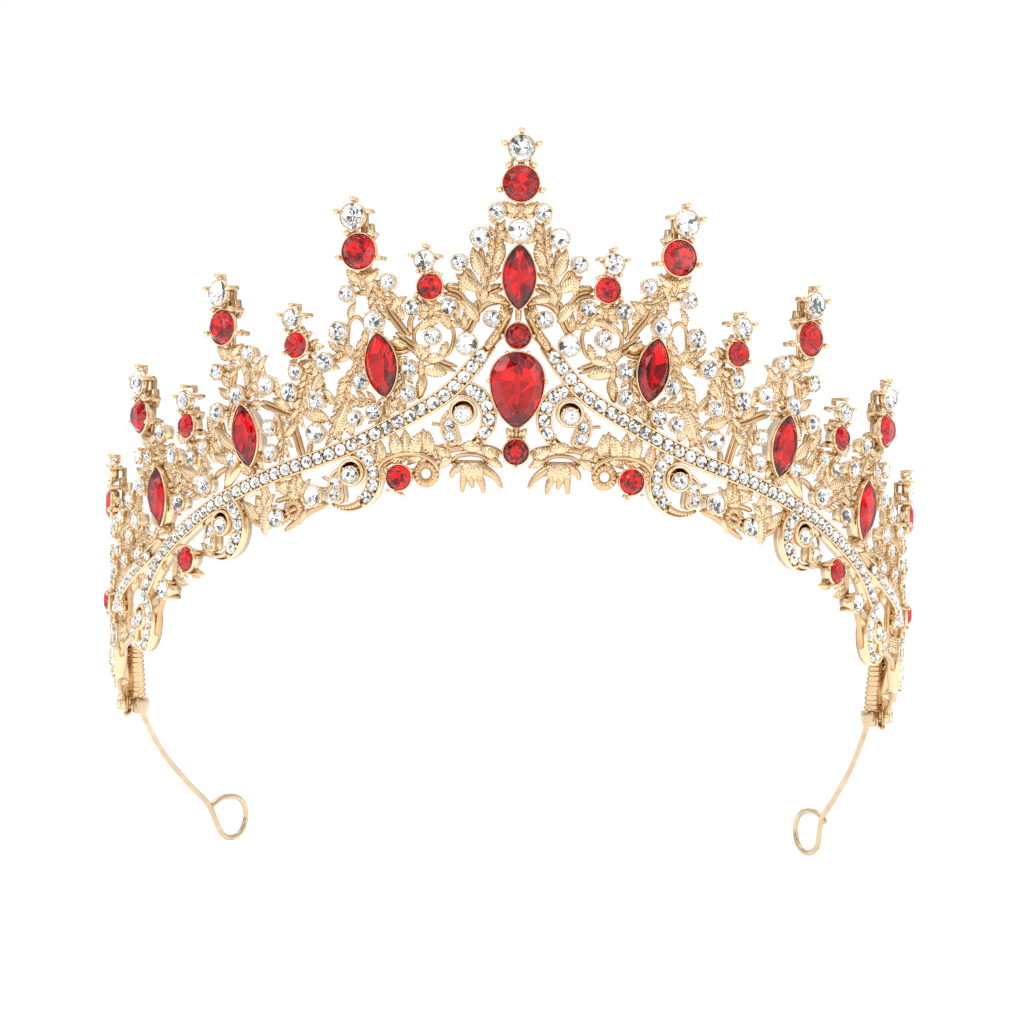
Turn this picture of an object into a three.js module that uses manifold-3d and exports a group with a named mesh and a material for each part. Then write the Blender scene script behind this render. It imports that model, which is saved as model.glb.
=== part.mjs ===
// A gilt tiara: one openwork casting bent round the front of the head, claw-set stones,
// and two springy wire arms that end in loops. Millimetres, +Z up, the front faces -Y.
// The origin is on the ring's upright axis, level with the lowest point of the centre front.
// Places on the casting are given on its flat pattern: an angle round the ring in degrees,
// 0 at the centre front and positive towards +X, and a height.
import * as THREE from 'three';
import { TessellateModifier } from 'three/addons/modifiers/TessellateModifier.js';
import { mergeVertices } from 'three/addons/utils/BufferGeometryUtils.js';
import Module from 'manifold-3d';

const wasm = await Module();
wasm.setup();

// Driving dimensions
const STONE_RADIUS = 83.6;      // ring radius at the widest line (girdle) of the stones
const PATTERN_RADIUS = 82;      // ring radius at which the flat pattern keeps its true lengths
const STEM_BACK = 80.4;         // ring radius at the back of the casting's stems
const ARM_RADIUS = 78.6;        // ring radius at the middle of the wire arms
const STEM_WIDTH = 1.6;         // width and depth of the casting's stems
const SEAT_GAP = 0.3;           // clearance between a stone and its cup
const CUP_WALL = 0.7;
const CUP_LIP = 0.3;            // a cup's rim stands this far in front of the girdle
const CUP_TOP = STONE_RADIUS - STEM_BACK + CUP_LIP;
const PRONG_TOP = 4.3;          // prong tips in front of the stems' back
const PRONG_WIDTH = 0.9;
const PRONG_REACH = [0.2, 1.2]; // a prong starts and ends this far over its cup's bore
const LEAF_WIDTH = 0.42;        // a leaf's width as a share of its length
const WIRE = 0.7;               // radius of the arm wire
const LOOP_RADIUS = 4.7;        // middle line of the loop that closes each arm
// The loop's tip, where it comes back to the arm: forwards from the loop's centre, below the loop's top
const LOOP_TIP = [[3.2, 0.1], [5.2, 0.9]];
const BAND_WIDTH = 3.7;         // the channel that carries the row of small stones
const SIDE_BAND_WIDTH = 2.4;

// Crescent scrolls: half their height, outer and inner depth, and how far the open side stands out
const SCROLL_HALF = 6;
const SCROLL_OUTER = 5.4;
const SCROLL_INNER = 1.6;
const SCROLL_SHIFT = 2.4;

// Stone sizes: radius of a round one, half width and half height of the others
const LARGE_ROUND = 3.45;
const TOP_ROUND = 2.5;
const SMALL_ROUND = 2.45;
const TIP_ROUND = 1.9;
const MARQUISE = [3, 5.9];
const PEAR = [5, 7];

// Spires: where the ruby of each one sits, from the centre outwards
const TALL_SPIRES = [[0, 56.7], [20.8, 43.9], [42, 30.2], [61.5, 13.5], [82, -4]];
const SHORT_SPIRES = [[11.4, 37.4], [29.7, 26.5], [48.9, 11.4]];
const TOP_STEP = [1, 6.6];      // from a tall spire's ruby to the clear stone over it
const TIP_STEP = [0.8, 4.9];    // the same on a short spire
// Marquise stones: angle, height, outward lean of the top in degrees
const MARQUISES = [[0, 39.4, 0], [17.6, 22.8, 9.5], [38, 9.5, 13], [56.4, -2.3, 12]];
const PEAR_HEIGHT = 18.5;
const PEAR_NEIGHBOURS = [28.5, 7];
const LOWER_RUBIES = [[15, 1.9], [49, -14.4], [83.5, -24]];
const LOWER_CRYSTALS = [[27.1, -1.8], [54.4, -20.6]];
// The channel band falls from the pear stone to the side, then a plain one runs on to the end
const BAND_LINE = [[4.5, 25], [8.2, 18.8], [12.5, 14.4], [22.5, 7.4], [34, 1.9], [45, -4.4], [56, -13.5],
  [62, -22]];
const SIDE_LINE = [[55, -11], [66, -17], [76, -24], [87, -33], [97.3, -43]];
// The lower garland, from the centre to the end
const GARLAND = [[1.5, 4.4], [8, 1.6], [15, 1.9], [21.5, -2], [27.1, -2.4], [33, -6.4], [40, -10.6], [49, -14.4],
  [54.4, -20.6], [61, -28], [70, -29.5], [79, -33.5], [88, -39], [97.3, -46]];
const SCROLLS = [[5.4, 13.6], [20.2, 1.8], [40.6, -8], [61.2, -26]];
const LONGEST_EDGE = 8;         // longest facet edge on the bent casting
const CRIMP_ANGLE = 97.4;
const CRIMP_HEIGHT = -47;
const CRIMP_SIZE = [3.4, 3.6, 2.8];
const FOOT_LINE = [[97.6, -49], [97.6, -44]];
const FOOT_WIDTH = 4;
// The arm's upper end behind the casting, then its way from the crimp tab to its loop: share of the way
// round, height
const ARM_TOP = [[95.4, -38], [96.6, -43]];
const ARM_STEPS = [[0.11, -51], [0.37, -58.7], [0.63, -65.8], [0.81, -71]];
const LOOP_HEIGHT = -74.4;
const LOOP_ANGLES = { left: 129, right: 119.5 };

const GOLD = { color: 0xe9bd78, metalness: 1, roughness: 0.25 };
const RUBY = { color: 0xc4122e, metalness: 0, roughness: 0.08 };
const CRYSTAL = { color: 0xdfe3e8, metalness: 0, roughness: 0.05 };

const tiara = new THREE.Group();

function onRing(angle, height, radius) {
  const a = THREE.MathUtils.degToRad(angle);
  return new THREE.Vector3(radius * Math.sin(a), -radius * Math.cos(a), height);
}

// Stands a geometry made facing +Z, with +Y up, on the ring so that it faces outwards
function faceOut(geometry, angle, height, radius, lean = 0) {
  const turn = new THREE.Matrix4().makeRotationZ(THREE.MathUtils.degToRad(-lean));
  const stand = new THREE.Matrix4().makeRotationX(Math.PI / 2);
  const swing = new THREE.Matrix4().makeRotationZ(THREE.MathUtils.degToRad(angle));
  const place = new THREE.Matrix4().makeTranslation(onRing(angle, height, radius));
  return geometry.applyMatrix4(place.multiply(swing).multiply(stand).multiply(turn));
}

function weld(geometry) {
  const bare = geometry.index ? geometry.toNonIndexed() : geometry.clone();
  bare.deleteAttribute('normal');
  bare.deleteAttribute('uv');
  return mergeVertices(bare, 1e-4);
}

function toSolid(geometry) {
  const welded = weld(geometry);
  const build = (triVerts) => new wasm.Manifold(new wasm.Mesh({
    numProp: 3,
    vertProperties: new Float32Array(welded.attributes.position.array),
    triVerts,
  }));
  const triangles = new Uint32Array(welded.index.array);
  const solid = build(triangles);
  return solid.volume() > 0 ? solid : build(triangles.reverse());
}

function toGeometry(solid) {
  const mesh = solid.getMesh();
  const geometry = new THREE.BufferGeometry();
  geometry.setAttribute('position', new THREE.BufferAttribute(new Float32Array(mesh.vertProperties), 3));
  geometry.setIndex(new THREE.BufferAttribute(new Uint32Array(mesh.triVerts), 1));
  geometry.computeVertexNormals();
  return geometry;
}

function addPart(name, solid, finish) {
  const mesh = new THREE.Mesh(toGeometry(solid), new THREE.MeshStandardMaterial(finish));
  mesh.name = name;
  tiara.add(mesh);
}

// Stones and cups

function circleOutline(radius, count = 8) {
  return Array.from({ length: count }, (_, i) => {
    const a = (2 * Math.PI * (i + 0.5)) / count;
    return new THREE.Vector2(radius * Math.cos(a), radius * Math.sin(a));
  });
}

// Two equal arcs that meet in points at the top and bottom
function marquiseOutline(halfWidth, halfHeight, perSide = 5) {
  const arcRadius = (halfWidth ** 2 + halfHeight ** 2) / (2 * halfWidth);
  const reach = Math.asin(halfHeight / arcRadius);
  const side = (sign) => Array.from({ length: perSide }, (_, i) => {
    const a = sign * reach * (-1 + (2 * i) / perSide);
    return new THREE.Vector2(sign * (arcRadius * Math.cos(a) - arcRadius + halfWidth), arcRadius * Math.sin(a));
  });
  return [...side(1), ...side(-1)];
}

// A round head above a point at the bottom
function pearOutline(halfWidth, halfHeight, count = 14) {
  const drop = halfHeight - halfWidth;
  return Array.from({ length: count }, (_, i) => {
    const a = -Math.PI / 2 + (2 * Math.PI * i) / count;
    const narrowing = Math.sin(a) < 0 ? Math.abs(Math.cos(a)) ** 0.35 : 1;
    const y = Math.sin(a) < 0 ? (drop + halfHeight) * Math.sin(a) + drop : halfWidth * Math.sin(a) + drop;
    return new THREE.Vector2(halfWidth * Math.cos(a) * narrowing, y);
  });
}

// A cut stone: flat table, sloping crown, upright girdle and a pavilion that ends in a point
function cutStone(outline, crown, pavilion) {
  const girdle = 0.3;
  const table = 0.6;
  const rings = [[table, crown], [1, 0], [1, -girdle]];
  const count = outline.length;
  const points = rings.flatMap(([scale, z]) => outline.map((p) => [p.x * scale, p.y * scale, z]));
  const top = points.push([0, 0, crown]) - 1;
  const culet = points.push([0, 0, -girdle - pavilion]) - 1;
  const faces = [];
  for (let i = 0; i < count; i++) {
    const j = (i + 1) % count;
    faces.push(top, i, j);
    for (let ring = 0; ring < rings.length - 1; ring++) {
      const a = ring * count;
      const b = a + count;
      faces.push(a + i, b + i, b + j, a + i, b + j, a + j);
    }
    const last = (rings.length - 1) * count;
    faces.push(culet, last + j, last + i);
  }
  const geometry = new THREE.BufferGeometry();
  geometry.setAttribute('position', new THREE.BufferAttribute(new Float32Array(points.flat()), 3));
  geometry.setIndex(faces);
  return geometry;
}

function grown(outline, by) {
  const box = new THREE.Box2().setFromPoints(outline).getSize(new THREE.Vector2());
  return outline.map((p) => new THREE.Vector2(p.x * (1 + (2 * by) / box.x), p.y * (1 + (2 * by) / box.y)));
}

// The casting is made flat, as upright-walled slabs on its flat pattern, and bent to the ring at the end.
// Pattern coordinates: arc length across, height up, and depth counted outwards from the stems' back.

const slabs = [];
const cupBores = [];

function slab(outline, low, high) {
  const geometry = new THREE.ExtrudeGeometry(new THREE.Shape(outline), { depth: high - low, bevelEnabled: false });
  return toSolid(geometry.translate(0, 0, low));
}

function onPattern([angle, height]) {
  return new THREE.Vector2(THREE.MathUtils.degToRad(angle) * PATTERN_RADIUS, height);
}

function addStone(name, outline, finish, [angle, height, lean = 0]) {
  const pavilion = Math.min(2.2, outline[0].length() * 0.7);
  const stone = cutStone(outline, 1.1, pavilion);
  addPart(name, toSolid(faceOut(stone, angle, height, STONE_RADIUS, lean)), finish);
  const centre = onPattern([angle, height]);
  const turned = (by) => grown(outline, by).map((p) => p
    .rotateAround(new THREE.Vector2(), THREE.MathUtils.degToRad(-lean)).add(centre));
  slabs.push(slab(turned(SEAT_GAP + CUP_WALL), 0, CUP_TOP));
  cupBores.push(slab(turned(SEAT_GAP), -1, CUP_TOP + 1));
}

// A strip of even width along a smooth line
function strip(line, width, depth = STEM_WIDTH, stepLength = 6) {
  const curve = new THREE.SplineCurve(line.map(onPattern));
  const count = Math.max(1, Math.round(curve.getLength() / stepLength));
  const upper = [];
  const lower = [];
  for (let i = 0; i <= count; i++) {
    const middle = curve.getPointAt(i / count);
    const along = curve.getTangentAt(i / count);
    const across = new THREE.Vector2(-along.y, along.x).multiplyScalar(width / 2);
    upper.push(middle.clone().add(across));
    lower.unshift(middle.clone().sub(across));
  }
  slabs.push(slab([...upper, ...lower], 0, depth));
}

function stem(line) {
  strip(line, STEM_WIDTH);
}

// A pointed leaf that grows from a place on the casting
function leaf(angle, height, direction, length) {
  const root = onPattern([angle, height]);
  const width = length * LEAF_WIDTH;
  const along = new THREE.Vector2(0, 1).rotateAround(new THREE.Vector2(), THREE.MathUtils.degToRad(-direction));
  const across = new THREE.Vector2(along.y, -along.x);
  const at = (share, side) => root.clone().addScaledVector(along, share * length)
    .addScaledVector(across, (side * width) / 2);
  slabs.push(slab([at(0, -0.4), at(0.45, -1), at(1, 0), at(0.45, 1), at(0, 0.4)], 0, STEM_WIDTH));
}

// A crescent that opens outwards, thick in the middle and pointed at its ends
function scroll(angle, height, side) {
  const centre = onPattern([angle, height]);
  const count = 6;
  const arc = (depth) => Array.from({ length: count + 1 }, (_, i) => {
    const a = Math.PI * (i / count - 0.5);
    const x = centre.x + side * (SCROLL_SHIFT - depth * Math.cos(a));
    return new THREE.Vector2(x, centre.y - SCROLL_HALF * Math.sin(a));
  });
  const outer = arc(SCROLL_OUTER);
  const inner = arc(SCROLL_INNER).slice(1, -1).reverse();
  slabs.push(slab([...outer, ...inner], 0, STEM_WIDTH));
}

// Long flat facets are divided first, so that they follow the ring
function bentToRing(solid) {
  const divide = new TessellateModifier(LONGEST_EDGE, 8);
  const geometry = divide.modify(weld(toGeometry(solid)).toNonIndexed());
  const position = geometry.attributes.position;
  for (let i = 0; i < position.count; i++) {
    const angle = THREE.MathUtils.radToDeg(position.getX(i) / PATTERN_RADIUS);
    const place = onRing(angle, position.getY(i), STEM_BACK + position.getZ(i));
    position.setXYZ(i, place.x, place.y, place.z);
  }
  return toSolid(geometry);
}

function mirrored(side, line) {
  return line.map(([angle, ...rest]) => [side * angle, ...rest]);
}

// The stones of the centre line
addStone('tall_spire_ruby_0', circleOutline(LARGE_ROUND), RUBY, TALL_SPIRES[0]);
addStone('tall_spire_crystal_0', circleOutline(TOP_ROUND), CRYSTAL, [0, TALL_SPIRES[0][1] + TOP_STEP[1]]);
addStone('marquise_0', marquiseOutline(...MARQUISE), RUBY, MARQUISES[0]);
addStone('pear_stone', pearOutline(...PEAR), RUBY, [0, PEAR_HEIGHT]);
PEAR_NEIGHBOURS.forEach((height, i) => {
  addStone(i ? 'ruby_below_pear' : 'ruby_above_pear', circleOutline(SMALL_ROUND), RUBY, [0, height]);
});

// The centre spire's stems, from its ruby down past the marquise to the pear
stem([[0, 54], [0, 44.5]]);
stem([[0, 34.5], [0, 24]]);
stem([[0, 12], [0, 3.5]]);
stem([[-1.5, 4.4], [1.5, 4.4]]);

for (const [label, side] of [['left', -1], ['right', 1]]) {
  const ring = (line) => mirrored(side, line);

  TALL_SPIRES.slice(1).forEach(([angle, height], i) => {
    const place = [side * angle, height];
    addStone(`tall_spire_ruby_${label}_${i + 1}`, circleOutline(LARGE_ROUND), RUBY, place);
    const top = [side * (angle + TOP_STEP[0]), height + TOP_STEP[1]];
    addStone(`tall_spire_crystal_${label}_${i + 1}`, circleOutline(TOP_ROUND), CRYSTAL, top);
  });
  SHORT_SPIRES.forEach(([angle, height], i) => {
    addStone(`short_spire_ruby_${label}_${i + 1}`, circleOutline(SMALL_ROUND), RUBY, [side * angle, height]);
    const top = [side * (angle + TIP_STEP[0]), height + TIP_STEP[1]];
    addStone(`short_spire_crystal_${label}_${i + 1}`, circleOutline(TIP_ROUND), CRYSTAL, top);
  });
  MARQUISES.slice(1).forEach(([angle, height, lean], i) => {
    addStone(`marquise_${label}_${i + 1}`, marquiseOutline(...MARQUISE), RUBY, [side * angle, height, side * lean]);
  });
  LOWER_RUBIES.forEach(([angle, height], i) => {
    addStone(`lower_ruby_${label}_${i + 1}`, circleOutline(SMALL_ROUND), RUBY, [side * angle, height]);
  });
  LOWER_CRYSTALS.forEach(([angle, height], i) => {
    addStone(`lower_crystal_${label}_${i + 1}`, circleOutline(TIP_ROUND), CRYSTAL, [side * angle, height]);
  });

  // Bands and the lower garland
  strip(ring(BAND_LINE), BAND_WIDTH);
  strip(ring(SIDE_LINE), SIDE_BAND_WIDTH);
  stem(ring(GARLAND));
  SCROLLS.forEach(([angle, height]) => scroll(side * angle, height, side));

  // Stems that carry each spire, from its ruby down to the band
  stem(ring([[20.6, 41], [19.6, 33], [18.4, 28.4]]));
  stem(ring([[41.6, 27.4], [40, 20], [38.8, 15]]));
  stem(ring([[61.2, 10.7], [59.6, 5], [57.6, 2.6]]));
  stem(ring([[82, -7], [82.4, -15], [83.3, -21.6]]));
  stem(ring([[83.5, -26.5], [84.6, -36]]));
  stem(ring([[11, 35], [10.2, 26], [10.4, 16.5]]));
  stem(ring([[29.4, 24], [29.6, 15], [30, 4]]));
  stem(ring([[48.6, 9], [48, 2], [47.6, -6]]));
  stem(ring([[17, 17], [17.4, 11]]));
  stem(ring([[37.4, 3.8], [38.4, 0]]));
  stem(ring([[55.6, -8], [55, -12]]));

  // Branches that tie neighbouring spires together
  stem(ring([[1.6, 46.5], [5.1, 46.8], [7.7, 42], [6, 34], [3, 31], [1.5, 28.5]]));
  stem(ring([[5, 24.6], [6.8, 29], [10.6, 29.6], [14, 33.4], [17, 38], [19.4, 36]]));
  stem(ring([[18.8, 34], [22.8, 36], [24, 29], [21, 24], [22.4, 16], [24, 7.4]]));
  stem(ring([[22.6, 17.6], [26, 23], [29.5, 20], [31.4, 17.6], [35.2, 19.2], [38.2, 25], [40.8, 24]]));
  stem(ring([[40.6, 22.6], [44, 21.6], [43.4, 14], [41.6, 8], [42.4, 2], [43, -3]]));
  stem(ring([[42.8, 0], [46, 6.8], [49, 5.2], [52, 5.6], [54, 7], [57, 10], [60.2, 9.6]]));
  stem(ring([[59.2, 4.4], [63, 5.6], [64, -1], [60.6, -6], [61, -14], [62, -18]]));
  stem(ring([[63.6, 1], [68, -4], [74, -8], [79.4, -5.6]]));
  stem(ring([[62, -10], [67, -10], [70, -14], [74, -13.6], [76, -18], [80.8, -23]]));
  stem(ring([[82.6, -12], [88, -13], [91, -19], [95, -27], [97.2, -36], [98, -44]]));
  stem(ring([[86, -25], [91, -26], [95, -30]]));

  // Struts between the bands and the garland
  for (const [top, bottom] of [[[7.4, 20], [4, 12]], [[12.6, 14], [13.4, 4]], [[18, 10], [18.6, 4]],
    [[26.6, 5.4], [27, 0]], [[33, 2.4], [33, -6.4]], [[38.6, -0.8], [39, -5]], [[47, -6], [48, -12]],
    [[53, -11], [54, -19]], [[59, -18], [60, -22]], [[70, -19.5], [70, -29.5]], [[76, -24], [77, -32.6]],
    [[91, -36.6], [91, -41]]]) {
    stem(ring([top, bottom]));
  }

  // Leaves
  for (const [angle, height, direction, length] of [[5.1, 46.4, 50, 7], [9.4, 29, 70, 6],
    [18.6, 33, -40, 6], [20.4, 34, 45, 6], [21, 24, 60, 8], [23.4, 14, 50, 8], [12.5, 15.5, -10, 10], [28.6, 19, -35, 7],
    [30.4, 14, 40, 8], [33, 3.6, 20, 9], [39.6, 21, -45, 6], [41.4, 22, 45, 6], [44.6, 9, 30, 8], [47.6, 3, -30, 7],
    [52, 5, 15, 7], [59, 6, -40, 6], [60, 8, 45, 6], [65, -4, 30, 8], [69, -10, 25, 8], [81, -10, -40, 7],
    [83, -9, 40, 7], [88, -18, 30, 8], [92, -28, 40, 7], [79, -28, -10, 7], [88, -36, 10, 7],
    [9, 2, 60, 7], [10.4, 2, 15, 8], [30.4, -5, 30, 7], [35.6, -8, 20, 6],
    [44.6, -12, 25, 7], [51.6, -17, -60, 5]]) {
    leaf(side * angle, height, side * direction, length);
  }
  // Foot of the casting that carries the crimp tab, and the upright prong over each tall spire's clear stone
  strip(ring(FOOT_LINE), FOOT_WIDTH);
  TALL_SPIRES.forEach(([angle, height], i) => {
    const prongAngle = i ? angle + TOP_STEP[0] : 0;
    const foot = height + TOP_STEP[1] + TOP_ROUND + SEAT_GAP;
    if (i || side > 0) strip(ring(PRONG_REACH.map((reach) => [prongAngle, foot + reach])), PRONG_WIDTH, PRONG_TOP);
  });

  // The wire arm: down behind the casting's end, through the crimp tab, and round into the loop,
  // whose tip comes back to the arm. The arms are bent by hand, so they don't reach equally far.
  const loopAngle = LOOP_ANGLES[label];
  const loopCentre = onRing(side * loopAngle, LOOP_HEIGHT, ARM_RADIUS);
  const rearwards = onRing(side * (loopAngle + 90), 0, 1);
  const armLine = [...ARM_TOP, [CRIMP_ANGLE, CRIMP_HEIGHT]];
  ARM_STEPS.forEach(([share, height]) => {
    armLine.push([CRIMP_ANGLE + share * (loopAngle - CRIMP_ANGLE), height]);
  });
  const path = ring(armLine).map(([angle, height]) => onRing(angle, height, ARM_RADIUS));
  for (let turn = -60; turn <= 180; turn += 30) {
    const a = THREE.MathUtils.degToRad(turn);
    const drop = new THREE.Vector3(0, 0, -LOOP_RADIUS * Math.cos(a));
    path.push(loopCentre.clone().addScaledVector(rearwards, LOOP_RADIUS * Math.sin(a)).add(drop));
  }
  LOOP_TIP.forEach(([forwards, below]) => {
    const up = new THREE.Vector3(0, 0, LOOP_RADIUS - below);
    path.push(loopCentre.clone().addScaledVector(rearwards, -forwards).add(up));
  });
  const wirePath = new THREE.CatmullRomCurve3(path, false, 'centripetal');
  const wire = new THREE.ExtrudeGeometry(new THREE.Shape(circleOutline(WIRE, 8)), {
    steps: 48,
    extrudePath: wirePath,
    bevelEnabled: false,
  });
  addPart(`arm_wire_${label}`, toSolid(wire), GOLD);

  // The crimp tab is bored for the wire
  const tab = new THREE.BoxGeometry(...CRIMP_SIZE);
  const bore = new THREE.ExtrudeGeometry(new THREE.Shape(circleOutline(WIRE + SEAT_GAP, 8)), {
    steps: 48,
    extrudePath: wirePath,
    bevelEnabled: false,
  });
  const bored = toSolid(faceOut(tab, side * CRIMP_ANGLE, CRIMP_HEIGHT, ARM_RADIUS)).subtract(toSolid(bore));
  addPart(`crimp_tab_${label}`, bored, GOLD);
}

// Everything on the flat pattern becomes one casting, open where the stones sit
const flatCasting = wasm.Manifold.union(slabs).subtract(wasm.Manifold.union(cupBores))
  .asOriginal().simplify(0.02);
addPart('openwork_casting', bentToRing(flatCasting), GOLD);

export default tiara;
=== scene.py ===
import math
import random

import bpy
from mathutils import Matrix, Vector


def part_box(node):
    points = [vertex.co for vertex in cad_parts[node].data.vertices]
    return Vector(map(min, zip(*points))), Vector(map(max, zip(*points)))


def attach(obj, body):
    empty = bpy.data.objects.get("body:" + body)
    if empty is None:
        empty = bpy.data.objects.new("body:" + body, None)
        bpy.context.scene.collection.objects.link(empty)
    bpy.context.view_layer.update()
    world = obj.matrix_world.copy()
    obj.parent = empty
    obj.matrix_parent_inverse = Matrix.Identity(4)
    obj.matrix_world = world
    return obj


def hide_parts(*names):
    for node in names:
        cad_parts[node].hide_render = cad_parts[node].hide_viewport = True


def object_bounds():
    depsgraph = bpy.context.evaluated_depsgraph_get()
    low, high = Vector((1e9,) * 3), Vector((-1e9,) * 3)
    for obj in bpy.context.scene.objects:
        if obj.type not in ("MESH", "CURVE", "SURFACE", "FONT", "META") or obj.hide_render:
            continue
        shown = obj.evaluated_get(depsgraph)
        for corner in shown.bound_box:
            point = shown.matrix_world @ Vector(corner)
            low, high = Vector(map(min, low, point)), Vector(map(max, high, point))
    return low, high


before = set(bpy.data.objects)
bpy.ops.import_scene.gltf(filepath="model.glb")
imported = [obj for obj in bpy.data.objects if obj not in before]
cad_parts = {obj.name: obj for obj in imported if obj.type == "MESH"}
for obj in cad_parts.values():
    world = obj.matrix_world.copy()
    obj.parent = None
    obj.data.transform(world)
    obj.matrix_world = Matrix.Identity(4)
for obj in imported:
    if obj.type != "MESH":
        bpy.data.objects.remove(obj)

# A gilt tiara: the looks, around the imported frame. Lengths are in millimetres until a piece is made.
# Places on the casting are given on its flat pattern: degrees round the ring (0 at the centre front,
# positive to +X) and a height. Only the +X half is listed, and the other half is its mirror image.

MM = 0.001
CAD_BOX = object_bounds()
random.seed(7)

PATTERN_RADIUS = 82.0       # ring radius at which the flat pattern keeps its true lengths
STEM_BACK = 80.4            # ring radius at the casting's back
STONE_RADIUS = 83.6         # ring radius at the girdle of the large stones
TABLE_RADIUS = 84.66        # no stone near the centre front or the ends stands out further than this
SMALL_RADIUS = 83.1         # ring radius at the girdle of the small crystals
CHANNEL_RADIUS = 82.9       # ring radius at the girdle of the stones in the channel bands and scrolls
ARM_RADIUS = 78.6           # ring radius at the middle of the wire arms
BALL = 0.64                 # radius of the balls that end the large claws
CUP_DEPTH = 3.1             # from a large stone's girdle back to the casting's back
CRIMP_ANGLE, CRIMP_HEIGHT = 97.4, -47.0     # where the wire arms are crimped to the casting

# What a face is made of. The numbers are also the places of a stone's materials: gold, clear glass over the
# stone, bright foil behind it and the facets of that foil that are painted dark, as painted dark reflections.
GOLD, GLASS, FOIL, SHADE = 0, 1, 2, 3


# ---------------------------------------------------------------- places

def bend(x, y, out):
    """A place on the flat pattern (across, up, out from the back) as a place on the ring."""
    a = x / PATTERN_RADIUS
    r = STEM_BACK + out
    return (r * math.sin(a), -r * math.cos(a), y)


def arc(angle):
    """Degrees round the ring as millimetres across the flat pattern."""
    return math.radians(angle) * PATTERN_RADIUS


def seat(angle, height, lean=0.0, radius=STONE_RADIUS):
    """Places (across, up, out) on the flat plane that touches the ring where a stone sits."""
    a = math.radians(angle)
    t = math.radians(lean)

    def place(x, y, out):
        side = x * math.cos(t) + y * math.sin(t)
        up = y * math.cos(t) - x * math.sin(t)
        r = radius + out
        return (r * math.sin(a) + side * math.cos(a), side * math.sin(a) - r * math.cos(a), height + up)
    return place


def node_place(name):
    """The angle and height of a CAD node's middle."""
    low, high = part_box(name)
    middle = [(a + b) / 2 / MM for a, b in zip(low, high)]
    return math.degrees(math.atan2(middle[0], -middle[1])), middle[2]


def circle_turns(count):
    """Angles at even steps round a circle."""
    return [2 * math.pi * i / count for i in range(count)]


def degrees_at(x):
    """Millimetres across the flat pattern as degrees round the ring."""
    return math.degrees(x / PATTERN_RADIUS)


def smooth(points, step, closed=False):
    """A smooth line through some places, in steps of about one length."""
    points = [Vector(p) for p in points]
    if closed:
        points = [points[-1]] + points + points[:2]
    else:
        points = [2 * points[0] - points[1]] + points + [2 * points[-1] - points[-2]]
    line = []
    for a, b, c, d in zip(points, points[1:], points[2:], points[3:]):
        count = max(1, round((c - b).length / step))
        for i in range(count):
            t = i / count
            line.append(0.5 * (2 * b + (c - a) * t + (2 * a - 5 * b + 4 * c - d) * t ** 2
                               + (3 * b - a - 3 * c + d) * t ** 3))
    if not closed:
        line.append(points[-2])
    return line


# ---------------------------------------------------------------- shapes

class Work:
    """The geometry of one piece, gathered in millimetres."""

    def __init__(self):
        self.points = []
        self.faces = []
        self.finishes = []

    def add(self, points, faces, finish=GOLD):
        base = len(self.points)
        self.points.extend(points)
        self.faces.extend([base + i for i in face] for face in faces)
        self.finishes.extend([finish] * len(faces))

    def mirrored(self):
        other = Work()
        other.points = [(-x, y, z) for x, y, z in self.points]
        other.faces = [face[::-1] for face in self.faces]
        other.finishes = list(self.finishes)
        return other


def ring_faces(rings, count, closed=False):
    """Quads between rings of points that follow each other."""
    faces = []
    for ring in range(rings if closed else rings - 1):
        a = ring * count
        b = (ring + 1) % rings * count
        faces += [[a + i, a + (i + 1) % count, b + (i + 1) % count, b + i] for i in range(count)]
    return faces


def shell(work, rings, finish=GOLD):
    """A closed body through rings of points, with a single point at each end."""
    count = len(rings[1])
    points = [rings[0]] + [p for ring in rings[1:-1] for p in ring] + [rings[-1]]
    faces = [[i + 1 for i in face] for face in ring_faces(len(rings) - 2, count)]
    last = len(points) - 1
    faces += [[0, (i + 1) % count + 1, i + 1] for i in range(count)]
    faces += [[last, last - count + i, last - count + (i + 1) % count] for i in range(count)]
    work.add(points, faces, finish)


def ball(work, place, x, y, out, radius, sides=10):
    rows = 6
    rings = [place(x, y, out - radius)]
    for row in range(1, rows):
        a = math.pi * row / rows
        flat = radius * math.sin(a)
        deep = out - radius * math.cos(a)
        rings.append([place(x + flat * math.cos(t), y + flat * math.sin(t), deep)
                      for t in circle_turns(sides)])
    rings.append(place(x, y, out + radius))
    shell(work, rings)


def tube(work, line, radius, sides):
    """A round-ended tube along a line in space."""
    line = [Vector(p) for p in line]
    tangents = [(after - before).normalized() for before, after in zip(line[:1] + line, line[1:] + line[-1:])]
    start, end = tangents[0] * radius, tangents[-1] * radius
    spots = [(line[0] - start * 0.7, radius * 0.7, tangents[0])]
    spots += [(spot, radius, tangent) for spot, tangent in zip(line, tangents)]
    spots += [(line[-1] + end * 0.7, radius * 0.7, tangents[-1])]
    normal = tangents[0].orthogonal().normalized()
    rings = [line[0] - start]
    for spot, size, tangent in spots:
        normal = (normal - tangent * normal.dot(tangent)).normalized()
        side = tangent.cross(normal)
        rings.append([spot + size * (normal * math.cos(t) + side * math.sin(t)) for t in circle_turns(sides)])
    rings.append(line[-1] + end)
    shell(work, rings)


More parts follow.
